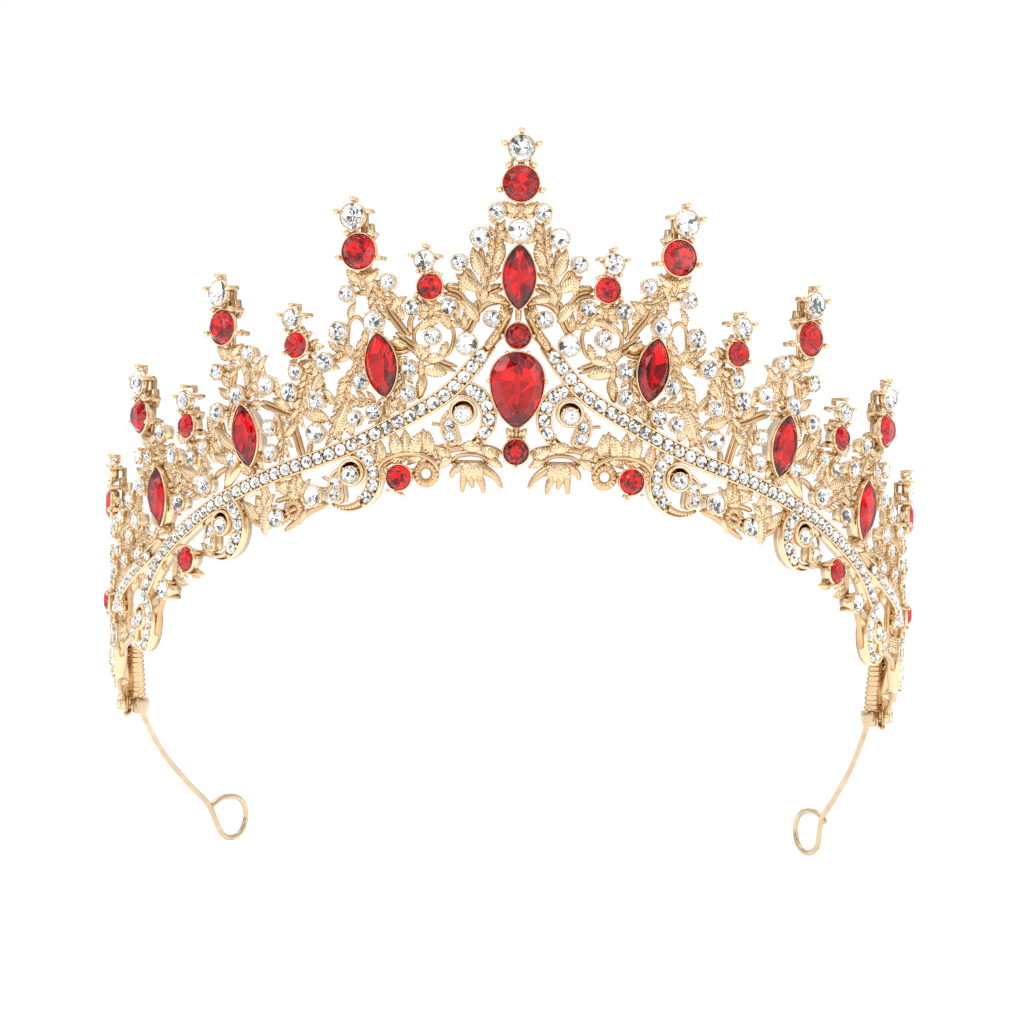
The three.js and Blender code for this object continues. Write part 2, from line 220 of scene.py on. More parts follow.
def sweep(work, line, section, out=0.0, offset=0.0, size=None, closed=False):
    """A section (across, out) drawn along a line on the flat pattern. out and offset may be functions of
    the length along it, and size a function of the share of it."""
    count = len(line)
    length = 0.0
    points = []
    for i, spot in enumerate(line):
        before = line[i - 1] if (i or closed) else line[0]
        after = line[(i + 1) % count] if (i < count - 1 or closed) else line[-1]
        along = (after - before).normalized()
        length += (spot - line[i - 1]).length if i else 0.0
        grow = size(i / (count - 1)) if size else 1.0
        shift = offset(length) if callable(offset) else offset
        depth = out(length) if callable(out) else out
        for x, z in section:
            reach = shift + x * grow
            points.append(bend(spot.x - along.y * reach, spot.y + along.x * reach, depth + z * grow))
    faces = ring_faces(count, len(section), closed)
    if not closed:
        faces += [list(range(len(section)))[::-1], list(range(len(points) - len(section), len(points)))]
    work.add(points, [face[::-1] for face in faces])


def round_section(radius, sides=8):
    """A circle, for a sweep."""
    return [(radius * math.cos(t), radius * math.sin(t)) for t in circle_turns(sides)]


def on_pattern(line, closed=False, step=0.7):
    """A smooth line on the flat pattern through places given as (angle, height)."""
    return smooth([(arc(angle), height, 0.0) for angle, height in line], step, closed)


def stem(work, line, radius=0.62, out=1.1, offset=0.0, closed=False):
    """A round stem, thinner at its ends unless it is a closed ring."""
    path = on_pattern(line, closed)
    taper = None if closed else (lambda share: min(1.0, 0.45 + 5 * share, 0.45 + 5 * (1 - share)))
    sweep(work, path, round_section(radius), out, offset, taper, closed)


def double_stem(work, line):
    """Two wires side by side."""
    radius = 0.47
    for side in (1, -1):
        stem(work, line, radius, offset=side * radius * 0.92)


def rope(work, line):
    """Two wires twisted round each other."""
    radius, pitch, middle = 0.42, 2.6, 1.1
    path = on_pattern(line, step=0.35)
    for phase in (0, math.pi):
        def out(length):
            return middle + radius * math.sin(2 * math.pi * length / pitch + phase)

        def offset(length):
            return radius * math.cos(2 * math.pi * length / pitch + phase)
        sweep(work, path, round_section(radius, 6), out, offset)


def leaf(work, angle, height, direction, length, width=0.42, curl=0.0, out=1.1, rise=0.5, veined=True):
    """A pointed leaf, arched both ways, with a raised midrib and slanting side veins."""
    rib_pitch, rib_slant, rib_height, midrib = 0.6, 1.5, 0.15, 0.2
    ribs = max(4, round(length / rib_pitch)) if veined else 2
    rows, columns = 4 * ribs, 8
    x, y = arc(angle), height
    top, keel = [], []
    for row in range(rows + 1):
        share = row / rows
        heading = math.radians(direction + curl * (share - 0.5))
        if row:
            x += length / rows * math.sin(heading)
            y += length / rows * math.cos(heading)
        half = 0.5 * width * length * max(0.05, math.sin(math.pi * share ** 0.85)) ** 0.75
        arch = rise * math.sin(math.pi * share)
        for column in range(columns + 1):
            t = 2 * column / columns - 1
            phase = 2 * math.pi * (ribs * share - rib_slant * abs(t))
            wave = math.cos(phase) if veined else 0.0
            reach = half * t * (1 + 0.08 * wave * abs(t))
            relief = midrib if column == columns // 2 else rib_height * wave
            depth = out + arch + 0.3 * (1 - t * t) + relief
            top.append(bend(x + reach * math.cos(heading), y - reach * math.sin(heading), depth))
        keel.append(bend(x, y, max(0.0, out + 0.5 * arch - 0.75)))
    wide = columns + 1
    faces = [[r * wide + c, (r + 1) * wide + c, (r + 1) * wide + c + 1, r * wide + c + 1]
             for r in range(rows) for c in range(columns)]
    base = len(top)
    for row in range(rows):
        left, right = row * wide, row * wide + columns
        faces.append([left, base + row, base + row + 1, left + wide])
        faces.append([right, right + wide, base + row + 1, base + row])
    faces.append([base] + list(range(columns + 1)))
    faces.append([base + rows] + list(range(rows * wide + columns, rows * wide - 1, -1)))
    work.add(top + keel, [face[::-1] for face in faces])


def laurel(work, line, length=3.1):
    """A stem with veined leaves on both sides in turn."""
    spacing, out = 0.95, 1.0
    stem(work, line, 0.45, out)
    path = on_pattern(line)
    total = sum((b - a).length for a, b in zip(path, path[1:]))
    count = max(2, round(total / spacing))
    for i in range(count):
        at = (i + 0.5) / count
        index = min(len(path) - 2, int(at * (len(path) - 1)))
        spot = path[index]
        along = path[index + 1] - spot
        heading = math.degrees(math.atan2(along.x, along.y))
        side = 1 if i % 2 else -1
        leaf(work, degrees_at(spot.x), spot.y, heading + side * random.uniform(24, 38),
             length * random.uniform(0.85, 1.1), 0.38, side * -24, out + 0.1, 0.45)


# ---------------------------------------------------------------- stones and their settings

def circle(radius):
    return lambda share, grow=0.0: ((radius + grow) * math.sin(2 * math.pi * share),
                                    (radius + grow) * math.cos(2 * math.pi * share))


def marquise(half_width, half_height):
    """A long oval that comes to points at the top and bottom."""
    def outline(share, grow=0.0):
        a = 2 * math.pi * share
        side = math.copysign(abs(math.sin(a)) ** 1.5, math.sin(a))
        return ((half_width + grow) * side, (half_height + 1.2 * grow) * math.cos(a))
    return outline


def pear(half_width, half_height):
    """A round head above a point at the bottom."""
    def outline(share, grow=0.0):
        w, h = half_width + grow, half_height + grow
        drop = half_height - half_width
        a = math.pi / 2 - 2 * math.pi * share
        if math.sin(a) >= 0:
            return (w * math.cos(a), w * math.sin(a) + drop)
        narrow = abs(math.cos(a)) ** 0.3
        return (w * math.cos(a) * narrow, (drop + h) * math.sin(a) + drop)
    return outline


def brilliant(work, place, outline, mains, crown, pavilion, table=0.6, broad=False):
    """A cut stone: table, stars, kites and girdle facets in clear glass over a foiled pavilion. A broad cut
    has wedges down to a keel, for long stones, and the other has a heart of facets. Some facets are painted
    dark, as painted dark reflections."""
    girdle = 0.2

    def ring(scale, out, count, shift=0.0):
        return [place(*(scale * v for v in outline((i + shift) / count % 1.0)), out) for i in range(count)]

    upper = ring(table, crown, mains) + ring(0.82, crown * 0.58, mains, 0.5) + ring(1.0, 0.0, 2 * mains)
    faces = [list(range(mains))]
    for i in range(mains):
        star, before = mains + i, mains + (i - 1) % mains
        corner = 2 * mains + 2 * i
        next_corner = 2 * mains + (2 * i + 2) % (2 * mains)
        faces += [[i, star, (i + 1) % mains], [before, corner, star, i]]
        faces += [[star, corner, corner + 1], [star, corner + 1, next_corner]]
    work.add(upper, [face[::-1] for face in faces], GLASS)

    edge = 2 * mains
    lower = ring(1.0, 0.0, edge) + ring(0.97, -girdle, edge)
    bright = [[i, (i + 1) % edge, edge + (i + 1) % edge, edge + i] for i in range(edge)]
    painted_dark = []

    # a facet gets, by chance, the foil painted dark: a painted dark reflection
    def facet(corners, chance):
        (painted_dark if random.random() < chance else bright).append(corners)

    if broad:
        for i in range(mains):
            x, y = outline((i + 0.5) / mains % 1.0)
            lower.append(place(0.12 * x, 0.42 * y, -girdle - pavilion))
        for i in range(mains):
            before, corner = edge + (2 * i - 1) % edge, edge + 2 * i
            facet([before, corner, corner + 1, 2 * edge + i, 2 * edge + (i - 1) % mains], 0.22)
        bright.append([2 * edge + i for i in range(mains)])
    else:
        lower += ring(0.46, -girdle - 0.6 * pavilion, edge) + [place(0, 0, -girdle - pavilion)]
        for i in range(edge):
            j = (i + 1) % edge
            facet([edge + i, edge + j, 2 * edge + j, 2 * edge + i], 0.13)
            facet([2 * edge + i, 2 * edge + j, 3 * edge], 0.4)
    base = len(work.points)
    work.add(lower, [face[::-1] for face in bright], FOIL)
    work.faces.extend([base + i for i in face[::-1]] for face in painted_dark)
    work.finishes.extend([SHADE] * len(painted_dark))


def cup(work, place, outline, depth, sides, wall, lip, flare):
    """A closed cup with a thin rim round a stone's girdle, narrower towards its back by the flare."""
    outside = [(wall - flare, -depth), (wall - 0.3 * flare, -0.8), (wall, -0.5), (wall, lip - 0.2)]
    rim = [(wall - 0.1, lip), (0.08, lip + 0.03)]
    inside = [(0.01, 0.06), (-0.1, -0.3), (-0.5, -0.45 * depth)]
    centre = outline(0.0)[1] + outline(0.5)[1]
    rings = [place(0.0, centre / 2, -depth)]
    for grow, out in outside + rim + inside:
        rings.append([place(*outline(i / sides, grow), out) for i in range(sides)])
    rings.append(place(0.0, centre / 2, -0.9 * depth))
    shell(work, [rings[0]] + [ring[::-1] for ring in rings[1:-1]] + [rings[-1]])


def bar(work, place, start, end, half_width, back, front):
    """A square bar on a stone's own plane, from one (across, up) to another."""
    a, b = Vector((*start, 0.0)), Vector((*end, 0.0))
    along = (b - a).normalized()
    across = Vector((-along.y, along.x, 0.0)) * half_width
    edge = 0.12
    rings = []
    for spot in (a, a + along * edge, b - along * edge, b):
        inset = 1.0 if spot in (a, b) else 0.0
        side = across * (1 - 0.25 * inset)
        low, high = back + edge * inset, front - edge * inset
        rings.append([place(spot.x + s * side.x, spot.y + s * side.y, out)
                      for s, out in ((-1, low), (-1, high), (1, high), (1, low))])
    middle = (back + front) / 2
    shell(work, [place(a.x, a.y, middle)] + rings + [place(b.x, b.y, middle)])


def claw(work, place, x, y, deep, thick, bead=BALL, out=0.3):
    """A square post beside a cup, with a foot to the cup's back, ending in a ball that holds the stone."""
    reach = math.hypot(x, y)
    side = (-y / reach * thick, x / reach * thick)
    ends = [(x - side[0], y - side[1]), (x + side[0], y + side[1])]
    bar(work, place, *ends, thick * 0.8, -deep, out - 0.2)
    bar(work, place, (x * 0.55, y * 0.55), (x * 1.02, y * 1.02), thick * 0.8, -deep, -deep + 0.8)
    ball(work, place, x, y, out, bead)


def claws(work, place, radius, turns, deep, thick, bead=BALL, out=0.3):
    """Claws round a stone, at angles in degrees clockwise from its top."""
    for turn in turns:
        a = math.radians(turn)
        claw(work, place, radius * math.sin(a), radius * math.cos(a), deep, thick, bead, out)


def small_crystal(gold, stones, angle, height, diameter, radius=SMALL_RADIUS, turn=45):
    """A small round stone in a tapered cup with four thin prongs."""
    place = seat(angle, height, 0.0, radius)
    size = diameter / 2 - 0.1
    brilliant(stones, place, circle(size), 6, 0.4 * size, 0.24 * size)
    deep = radius - STEM_BACK - 0.2
    cup(gold, place, circle(size), deep, 16, 0.26, 0.1, 0.6)
    for i in range(4):
        a = math.radians(turn + 90 * i)
        x, y = (size + 0.1) * math.sin(a), (size + 0.1) * math.cos(a)
        tube(gold, [place(0.75 * x, 0.75 * y, -deep), place(x, y, -0.4), place(x, y, 0.1)], 0.22, 5)
        ball(gold, place, x, y, 0.2, 0.3, 8)


# ---------------------------------------------------------------- materials

def fill(tree, node, inputs):
    """Gives a node its inputs, each a plain value or what comes out of another node."""
    for name, value in inputs.items():
        if isinstance(value, bpy.types.NodeSocket):
            tree.links.new(value, node.inputs[name])
        else:
            node.inputs[name].default_value = value


def add_node(tree, kind, inputs=None, **settings):
    """Adds a node and gives back its outputs."""
    node = tree.nodes.new("ShaderNode" + kind)
    for name, value in settings.items():
        setattr(node, name, value)
    fill(tree, node, inputs or {})
    return node.outputs


def material(name, inputs_of):
    """A material. inputs_of makes the inputs of its shader in its tree of nodes."""
    made = bpy.data.materials.new(name)
    made.use_nodes = True
    fill(made.node_tree, made.node_tree.nodes["Principled BSDF"], inputs_of(made.node_tree))
    return made


def noise(tree, scale, detail=3.0):
    """Noise in the object's own space; the scale is in features a metre."""
    place = add_node(tree, "TexCoord")["Object"]
    return add_node(tree, "TexNoise", {"Scale": scale, "Detail": detail, "Vector": place})["Fac"]


def ranged(tree, value, start, end, low=0.0, high=1.0):
    """A value brought from one range to another."""
    inputs = {"From Min": start, "From Max": end, "To Min": low, "To Max": high, "Value": value}
    return add_node(tree, "MapRange", inputs)["Result"]


def uneven(tree, scale, low, high):
    """A number that wanders between two."""
    return ranged(tree, noise(tree, scale), 0.3, 0.7, low, high)


def two_tone(tree, factor, first, second, stops=(0.35, 0.65)):
    """A factor as a colour between two."""
    ramp = tree.nodes.new("ShaderNodeValToRGB")
    for element, stop, color in zip(ramp.color_ramp.elements, stops, (first, second)):
        element.position = stop
        element.color = (*color, 1.0)
    fill(tree, ramp, {"Fac": factor})
    return ramp.outputs["Color"]


def add_up(tree, first, second, share):
    """first + share * second."""
    return add_node(tree, "Math", {0: second, 1: share, 2: first}, operation="MULTIPLY_ADD")["Value"]


def back_shade_mask(tree, back, front):
    """0 at the back of the casting and 1 at its front, by the distance from the ring's axis. A mask for
    painted shade.
    """
    place = add_node(tree, "TexCoord")["Object"]
    level = add_node(tree, "VectorMath", {0: place, 1: (1.0, 1.0, 0.0)}, operation="MULTIPLY")["Vector"]
    length = add_node(tree, "VectorMath", {0: level}, operation="LENGTH")["Value"]
    return ranged(tree, length, back * MM, front * MM)


def groove_shade_mask(tree):
    """0 in grooves and 1 on edges, as a mask for painted shade in the grooves."""
    return ranged(tree, add_node(tree, "NewGeometry")["Pointiness"], 0.44, 0.56)


def metal(name, pale, deep, smoothness, painted_shade=True):
    """Gold plate of an uneven tone, painted darker in its grooves and towards the back of the casting as
    painted shade, unless told not to.
    """
    grain_height = 0.00001

    def inputs(tree):
        tone_and_shade = uneven(tree, 260, 0.1, 0.3)
        # painted shade: darker towards the back of the casting and in its grooves
        if painted_shade:
            tone_and_shade = add_up(tree, tone_and_shade, back_shade_mask(tree, STEM_BACK - 0.2, STEM_BACK + 2.2), 0.4)
            tone_and_shade = add_up(tree, tone_and_shade, groove_shade_mask(tree), 0.42)
        else:
            tone_and_shade = add_up(tree, tone_and_shade, tone_and_shade, 2.0)
        grain = {"Strength": 1.0, "Distance": grain_height, "Height": noise(tree, 2200, 2.0)}
        # the deep colour is both the gold's deeper tone and its painted shade
        return {"Metallic": 1.0, "Base Color": two_tone(tree, tone_and_shade, deep, pale, (0.2, 0.85)),
                "Roughness": uneven(tree, 900, *smoothness),
                "Normal": add_node(tree, "Bump", grain)["Normal"]}
    return material(name, inputs)


def stone_glass(name, tint, second):
    """Clear tinted glass."""
    return material(name, lambda tree: {
        "Base Color": two_tone(tree, noise(tree, 300), tint, second), "Transmission Weight": 1.0, "IOR": 1.56,
        "Roughness": uneven(tree, 700, 0.0, 0.03)})


def stone_foil(name, bright, dark, mirror, painted_glow=0.0):
    """The foiled back of a stone, which sends the light back through the glass. It can also give out a little
    light of its own: painted light.
    """
    return material(name, lambda tree: {
        "Metallic": mirror, "Base Color": two_tone(tree, noise(tree, 700), dark, bright),
        "Roughness": uneven(tree, 500, 0.03, 0.12),
        "Emission Color": (*bright, 1.0), "Emission Strength": painted_glow})


def matt_white(name):
    """A surface about as pale as paper, which also sends out a little light of its own."""
    return material(name, lambda tree: {
        "Base Color": two_tone(tree, noise(tree, 6), (0.93, 0.93, 0.93), (0.96, 0.96, 0.96)),
        "Roughness": 0.9, "Specular IOR Level": 0.1, "Emission Color": (1.0, 1.0, 1.0, 1.0),
        "Emission Strength": 0.45})


# The casting's gold has painted shade in its grooves and towards its back; the wire's gold has none.
GILT = metal("gilt_casting", (0.79, 0.595, 0.38), (0.44, 0.25, 0.095), (0.15, 0.24))
WIRE_GILT = metal("gilt_wire", (0.63, 0.49, 0.335), (0.49, 0.37, 0.24), (0.13, 0.2), painted_shade=False)
# ruby_foil and crystal_foil glow a little: painted light.
RUBY = [GILT, stone_glass("ruby_glass", (0.92, 0.06, 0.10), (0.84, 0.05, 0.08)),
        stone_foil("ruby_foil", (0.84, 0.05, 0.07), (0.66, 0.02, 0.04), 0.92, painted_glow=0.04),
        # a foil painted dark, for painted dark reflections in some facets
        stone_foil("ruby_shade", (0.36, 0.02, 0.05), (0.24, 0.01, 0.03), 0.95)]
CRYSTAL = [GILT, stone_glass("crystal_glass", (1.0, 1.0, 1.0), (0.96, 0.97, 0.98)),
           stone_foil("crystal_foil", (1.0, 1.0, 0.98), (0.97, 0.98, 0.97), 0.72, painted_glow=0.08),
           # a foil painted dark, for painted dark reflections in some facets
           stone_foil("crystal_shade", (0.17, 0.18, 0.17), (0.08, 0.09, 0.10), 0.6)]


def make_piece(name, work, materials, slot, stands_for=()):
    """Turns gathered geometry into a piece that rides on the tiara's one body."""
    mesh = bpy.data.meshes.new(name)
    mesh.from_pydata([tuple(v * MM for v in p) for p in work.points], [], work.faces)
    for finish in materials:
        mesh.materials.append(finish)
    mesh.polygons.foreach_set("material_index", work.finishes)
    mesh.polygons.foreach_set("use_smooth", [finish == GOLD for finish in work.finishes])
    mesh.validate()
    mesh.update()
    piece = bpy.data.objects.new(name, mesh)
    bpy.context.scene.collection.objects.link(piece)
    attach(piece, "root")
    if stands_for:
        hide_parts(*stands_for)


def make_gold(name, work):
    """A piece of the casting: every one of them stands for the CAD's one casting."""
    make_piece(name, work, [GILT], "gilt_casting", ["openwork_casting"])


def make_gold_pair(name, work):
    make_gold(name + "_right", work)
    make_gold(name + "_left", work.mirrored())


def make_crystal_pair(name, work):
    make_piece(name + "_right", work, CRYSTAL, "clear_stone")
    make_piece(name + "_left", work.mirrored(), CRYSTAL, "clear_stone")


# ---------------------------------------------------------------- the large stones

LARGE = circle(3.35)
TOP = circle(2.4)
SMALL = circle(2.35)
TIP = circle(1.85)
MARQUISE = marquise(3.05, 6.0)
PEAR = pear(5.0, 7.0)
LEANS = {"1": 9.5, "2": 13, "3": 12}       # degrees outwards, by a marquise stone's number on its side


def set_stone(name, outline, mains, crown, pavilion, materials, slot, lean=0.0, turn=0.0):
    """A cut stone in the place of the CAD's own. Gives back the places on its plane, for its setting."""
    angle, height = node_place(name)
    if abs(angle) < 8 or abs(angle) > 75:
        crown = min(crown, TABLE_RADIUS - STONE_RADIUS)
    # the stones of the spires, apart from the one at the middle and those at the ends, stand out further
    raised = 0.6 if "spire" in name and 15 < abs(angle) < 70 else 0.0
    place = seat(angle, height, lean, STONE_RADIUS + raised)
    long_cut = outline in (MARQUISE, PEAR)

    def turned(share, grow=0.0):
        return outline((share + turn / 360) % 1.0, grow)
    work = Work()
    brilliant(work, place, turned, mains, crown, pavilion, 0.66 if long_cut else 0.58, long_cut)
    make_piece(name + "_stone", work, materials, slot, [name])
    return place


def round_stone(name, outline, crown, pavilion, color, turn):
    """A round stone, cut with eight main facets."""
    materials, slot = (RUBY, "red_stone") if color == "red" else (CRYSTAL, "clear_stone")
    return set_stone(name, outline, 8, crown, pavilion, materials, slot, turn=turn)


def two_sides(kind, count):
    """The names of a kind of stone on the left and on the right, numbered from the middle."""
    return [f"{kind}_{side}_{i}" for side in ("left", "right") for i in range(1, count + 1)]


def collar(work, name, radius, length):
    """Veined leaves that spread from under a stone, on both sides of a short stem."""
    angle, height = node_place(name)
    foot = height - radius
    for side in (-1, 1):
        leaf(work, angle + side * 0.1, foot - 1.9, side * 56, length, 0.5, side * -30, 1.6, 0.6)
        leaf(work, angle + side * 0.1, foot - 2.2, side * 84, length * 0.8, 0.45, side * -40, 1.2, 0.5)
        leaf(work, angle, foot - 1.9, side * 24, length * 0.5, 0.6, 0.0, 1.4, 0.4)
    stem(work, [(angle, foot - 0.2), (angle, foot - 3.2)], 0.62, 1.5)


def any_turn():
    """How far a round stone is turned in its setting, in degrees: up to one of its eight main facets."""
    return random.uniform(0, 45)


settings = Work()
for name in ["tall_spire_ruby_0"] + two_sides("tall_spire_ruby", 4):
    place = round_stone(name, LARGE, 1.5, 1.1, "red", any_turn())
    cup(settings, place, LARGE, 1.7, 28, 0.3, 0.25, 1.2)
    claws(settings, place, 4.2, [106, 254], CUP_DEPTH, 0.42)
    claws(settings, place, 4.15, [35, 325], CUP_DEPTH, 0.42)
    # the spire's spine, and two short bars beside it
    bar(settings, place, (0.0, -4.2), (0.0, 7.6), 0.6, -CUP_DEPTH, -CUP_DEPTH + 0.9)
    for across in (-1.5, 1.5):
        bar(settings, place, (across * 1.25, 3.2), (across, 5.4), 0.3, -CUP_DEPTH, -1.6)
    collar(settings, name, 3.4, 3.9)

for name in ["tall_spire_crystal_0"] + two_sides("tall_spire_crystal", 4):
    place = round_stone(name, TOP, 1.4, 0.8, "clear", any_turn())
    cup(settings, place, TOP, 1.5, 24, 0.28, 0.22, 0.9)
    claws(settings, place, 3.35, [74, 286], 2.2, 0.42)
    claw(settings, place, 0.0, 3.3, 1.8, 0.42, 0.6)

for name in two_sides("short_spire_ruby", 3):
    place = round_stone(name, SMALL, 1.2, 0.75, "red", any_turn())
    cup(settings, place, SMALL, 2.6, 24, 0.28, 0.2, 0.8)
    claws(settings, place, 2.85, [120, 240, 30, 330], CUP_DEPTH, 0.34, 0.45)
    collar(settings, name, 2.4, 2.9)

for name in two_sides("short_spire_crystal", 3):
    place = round_stone(name, TIP, 1.05, 0.6, "clear", any_turn())
    cup(settings, place, TIP, 1.6, 20, 0.28, 0.2, 0.6)
    claws(settings, place, 2.75, [0, 72, 288], CUP_DEPTH, 0.36, 0.52)
    claws(settings, place, 2.4, [150, 210], CUP_DEPTH, 0.32, 0.4)

for name in ["marquise_0"] + two_sides("marquise", 3):
    lean = LEANS.get(name[-1], 0) * (-1 if "left" in name else 1)
    place = set_stone(name, MARQUISE, 8, 1.35, 0.75, RUBY, "red_stone", lean)
    cup(settings, place, MARQUISE, CUP_DEPTH, 40, 0.28, 0.25, 0.5)
    claws(settings, place, 6.45, [0, 180], CUP_DEPTH, 0.34, 0.4)

place = set_stone("pear_stone", PEAR, 8, 1.2, 1.5, RUBY, "red_stone")
cup(settings, place, PEAR, CUP_DEPTH, 40, 0.28, 0.2, 0.5)
for side in (-1, 1):
    claw(settings, place, side * 5.35, 1.6, CUP_DEPTH, 0.38, 0.42, 0.35)
    claw(settings, place, side * 2.0, 6.9, CUP_DEPTH, 0.38, 0.4, 0.35)

for name, turns in (("ruby_above_pear", [0, 90, 270]), ("ruby_below_pear", [30, 330, 180])):
    place = round_stone(name, SMALL, 1.2, 0.75, "red", 11)
    cup(settings, place, SMALL, 2.6, 24, 0.28, 0.2, 0.8)
    claws(settings, place, 2.85, turns, CUP_DEPTH, 0.36, 0.4, 0.35)

for name in two_sides("lower_ruby", 3):
    place = round_stone(name, SMALL, 1.2, 0.75, "red", any_turn())
    cup(settings, place, SMALL, 2.6, 24, 0.28, 0.2, 0.8)
    claws(settings, place, 2.75, [60, 190, 300], CUP_DEPTH, 0.36, 0.4, 0.35)

for name in two_sides("lower_crystal", 2):
    place = round_stone(name, TIP, 1.05, 0.6, "clear", any_turn())
    cup(settings, place, TIP, CUP_DEPTH, 20, 0.32, 0.2, 0.4)
    claws(settings, place, 2.05, [45, 135, 225, 315], CUP_DEPTH, 0.3, 0.34)
make_gold("stone_settings", settings)


# ---------------------------------------------------------------- the small crystals

# Angle, height and diameter
SMALL_CRYSTALS = [
    (2.96, 51.6, 3.1), (5.1, 46.7, 3.8), (7.7, 42, 3.1), (3.4, 31.6, 3.1), (6.6, 26.9, 4.1), (9, 33.8, 3.1),
    (13.7, 33.5, 3.1), (11, 28.2, 3.1), (17.1, 38.3, 3.1), (22.8, 36.1, 3.1), (19, 30.8, 4.1),
    (23.9, 29.1, 3.7), (14, 22.3, 3.1), (20.6, 19.7, 3.1), (14.1, 17.5, 3.1), (21.4, 12.8, 3.1),
    (18.7, 14.1, 3.1), (25.8, 23.3, 3.7), (30.2, 21.5, 3), (31.2, 17.6, 3.7), (26.9, 15.8, 3.1),
    (27, 10, 3.8), (38.1, 25.1, 3.1), (43.9, 21.7, 3.1), (40, 17.2, 3.9), (35, 19.1, 3.8),
    (43.7, 13.9, 3.7), (34.3, 10.9, 3.1), (34, 6.3, 3.1), (40.6, 5, 3.1), (32.9, -6.1, 3.6),
    (46.4, 7.1, 2.9), (49, 5.3, 3), (46.1, 0, 4.1), (51.7, -3.5, 3.7), (57, 10.2, 3.7), (53.6, 5.6, 3.7),
    (63.2, -0.4, 3.7), (64.6, -7.3, 3.7), (64.1, 5.7, 3.1), (60.7, 5.4, 3.1), (58.3, -9, 3.1),
    (67.8, -3.2, 3.7), (67.4, -10.4, 3.1), (73.9, -12.8, 3.7), (63.2, -14.2, 3.7), (76.6, -17.4, 3.1),
    (69.6, -15.2, 3.1), (72.6, -6.6, 3.1), (77.6, -8, 3.7), (87.4, -9.6, 3.1), (88.6, -15.6, 3.7),
    (86, -19.4, 3.1), (91.4, -21.4, 3.7), (89, -26, 3.7), (94.2, -27.6, 3.7), (92.2, -31.6, 3.1),
    (96, -33, 3.7), (93.4, -36.6, 3.1), (97, -38.4, 3.7), (94.6, -41.6, 3.1), (97.4, -46.2, 4),
    (71.4, -25, 3.1), (78.4, -27.6, 3.1), (81.4, -14, 3.1), (80, -19.6, 3.7), (87.6, -36.4, 3.1),
]
gold, stones = Work(), Work()
for angle, height, diameter in SMALL_CRYSTALS:
    small_crystal(gold, stones, angle, height, diameter, turn=random.uniform(20, 70))
make_gold_pair("crystal_cups", gold)
make_crystal_pair("small_crystals", stones)
gold, stones = Work(), Work()
small_crystal(gold, stones, 0.0, 47.9, 4.5, SMALL_RADIUS + 0.1)
make_gold("centre_crystal_cup", gold)
make_piece("centre_crystal", stones, CRYSTAL, "clear_stone")


# ---------------------------------------------------------------- channel bands and scrolls

BAND_LINE = [
    (3.4, 27), (4.6, 24.8), (8.2, 18.8), (12.5, 14.5), (22.5, 7.4), (34, 1.9), (45, -4.4), (56, -13.5),
    (61.6, -21.6),
]
SIDE_LINE = [(57, -12), (66, -17.6), (76, -24), (87, -33), (97.3, -43)]
CHANNEL_PITCH = 2.5
CHANNEL_STONE = 1.16        # radius
CHANNEL_FLOOR = 2.05        # from the casting's back


def channel_section(half, rail):
    """A flat floor between two rounded rails."""
    inner = half - rail
    edge = [(half, 0), (half, 2.2), (half - rail * 0.3, 2.55), (inner + rail * 0.2, 2.55), (inner, 2.4),
            (inner, CHANNEL_FLOOR)]
    return [(-x, z) for x, z in edge] + edge[::-1]


def tiny_stone(stones, spot, radius):
    """A stone of the channels, with its middle at a spot on the flat pattern."""
    place = seat(degrees_at(spot.x), spot.y, 0.0, CHANNEL_RADIUS)
    brilliant(stones, place, circle(radius), 5, 0.42, 0.2)


def beads_between(gold, spot, along, reach):
    """A pair of grains that hold two stones at the rails."""
    across = Vector((-along.y, along.x, 0.0))
    for side in (-1, 1):
        bead = spot + across * side * reach
        ball(gold, bend, bead.x, bead.y, 2.4, 0.4, 8)


def stone_row(gold, stones, path, start, radius, reach):
    """Stones at an even pitch along a line, with grains between them."""
    walked, target = 0.0, start
    stone_next = True
    for a, b in zip(path, path[1:]):
        step = (b - a).length
        while walked + step >= target:
            spot = a.lerp(b, (target - walked) / step)
            if stone_next:
                tiny_stone(stones, spot, radius)
            else:
                beads_between(gold, spot, (b - a).normalized(), reach)
            stone_next = not stone_next
            target += CHANNEL_PITCH / 2
        walked += step


gold, stones = Work(), Work()
path = on_pattern(BAND_LINE)
sweep(gold, path, channel_section(1.6, 0.42), size=lambda share: min(1.0, 0.62 + 7 * share))
# the plain bar that carries the band up to the middle, with beads on it
stem(gold, [(4.3, 25.6), (3.4, 27.4), (2.5, 29.2), (1.7, 31.6), (1.2, 33.6)], 1.05)
for i in range(5):
    ball(gold, bend, arc(3.5 - 0.36 * i), 27.2 + 1.1 * i, 2.0, 0.42, 8)
stone_row(gold, stones, path, 3.0, CHANNEL_STONE, 0.95)
path = on_pattern(SIDE_LINE)
sweep(gold, path, channel_section(1.5, 0.45))
stone_row(gold, stones, path, 5.6, 1.0, 0.8)

# Each scroll: its inner stone's angle and height, and how far the whole is turned clockwise
SCROLLS = [(6.9, 14.3, 17), (21.8, 2.7, 5), (42.6, -7.3, 0), (62.6, -26.4, -8), (79.6, -33, -8)]
SCROLL_STONES = [128, 153, 183, 213, 240]       # where the stones of the C lie round the inner stone
SCROLL_GRAINS = [141, 168, 198, 227, 252]       # and the grains between them


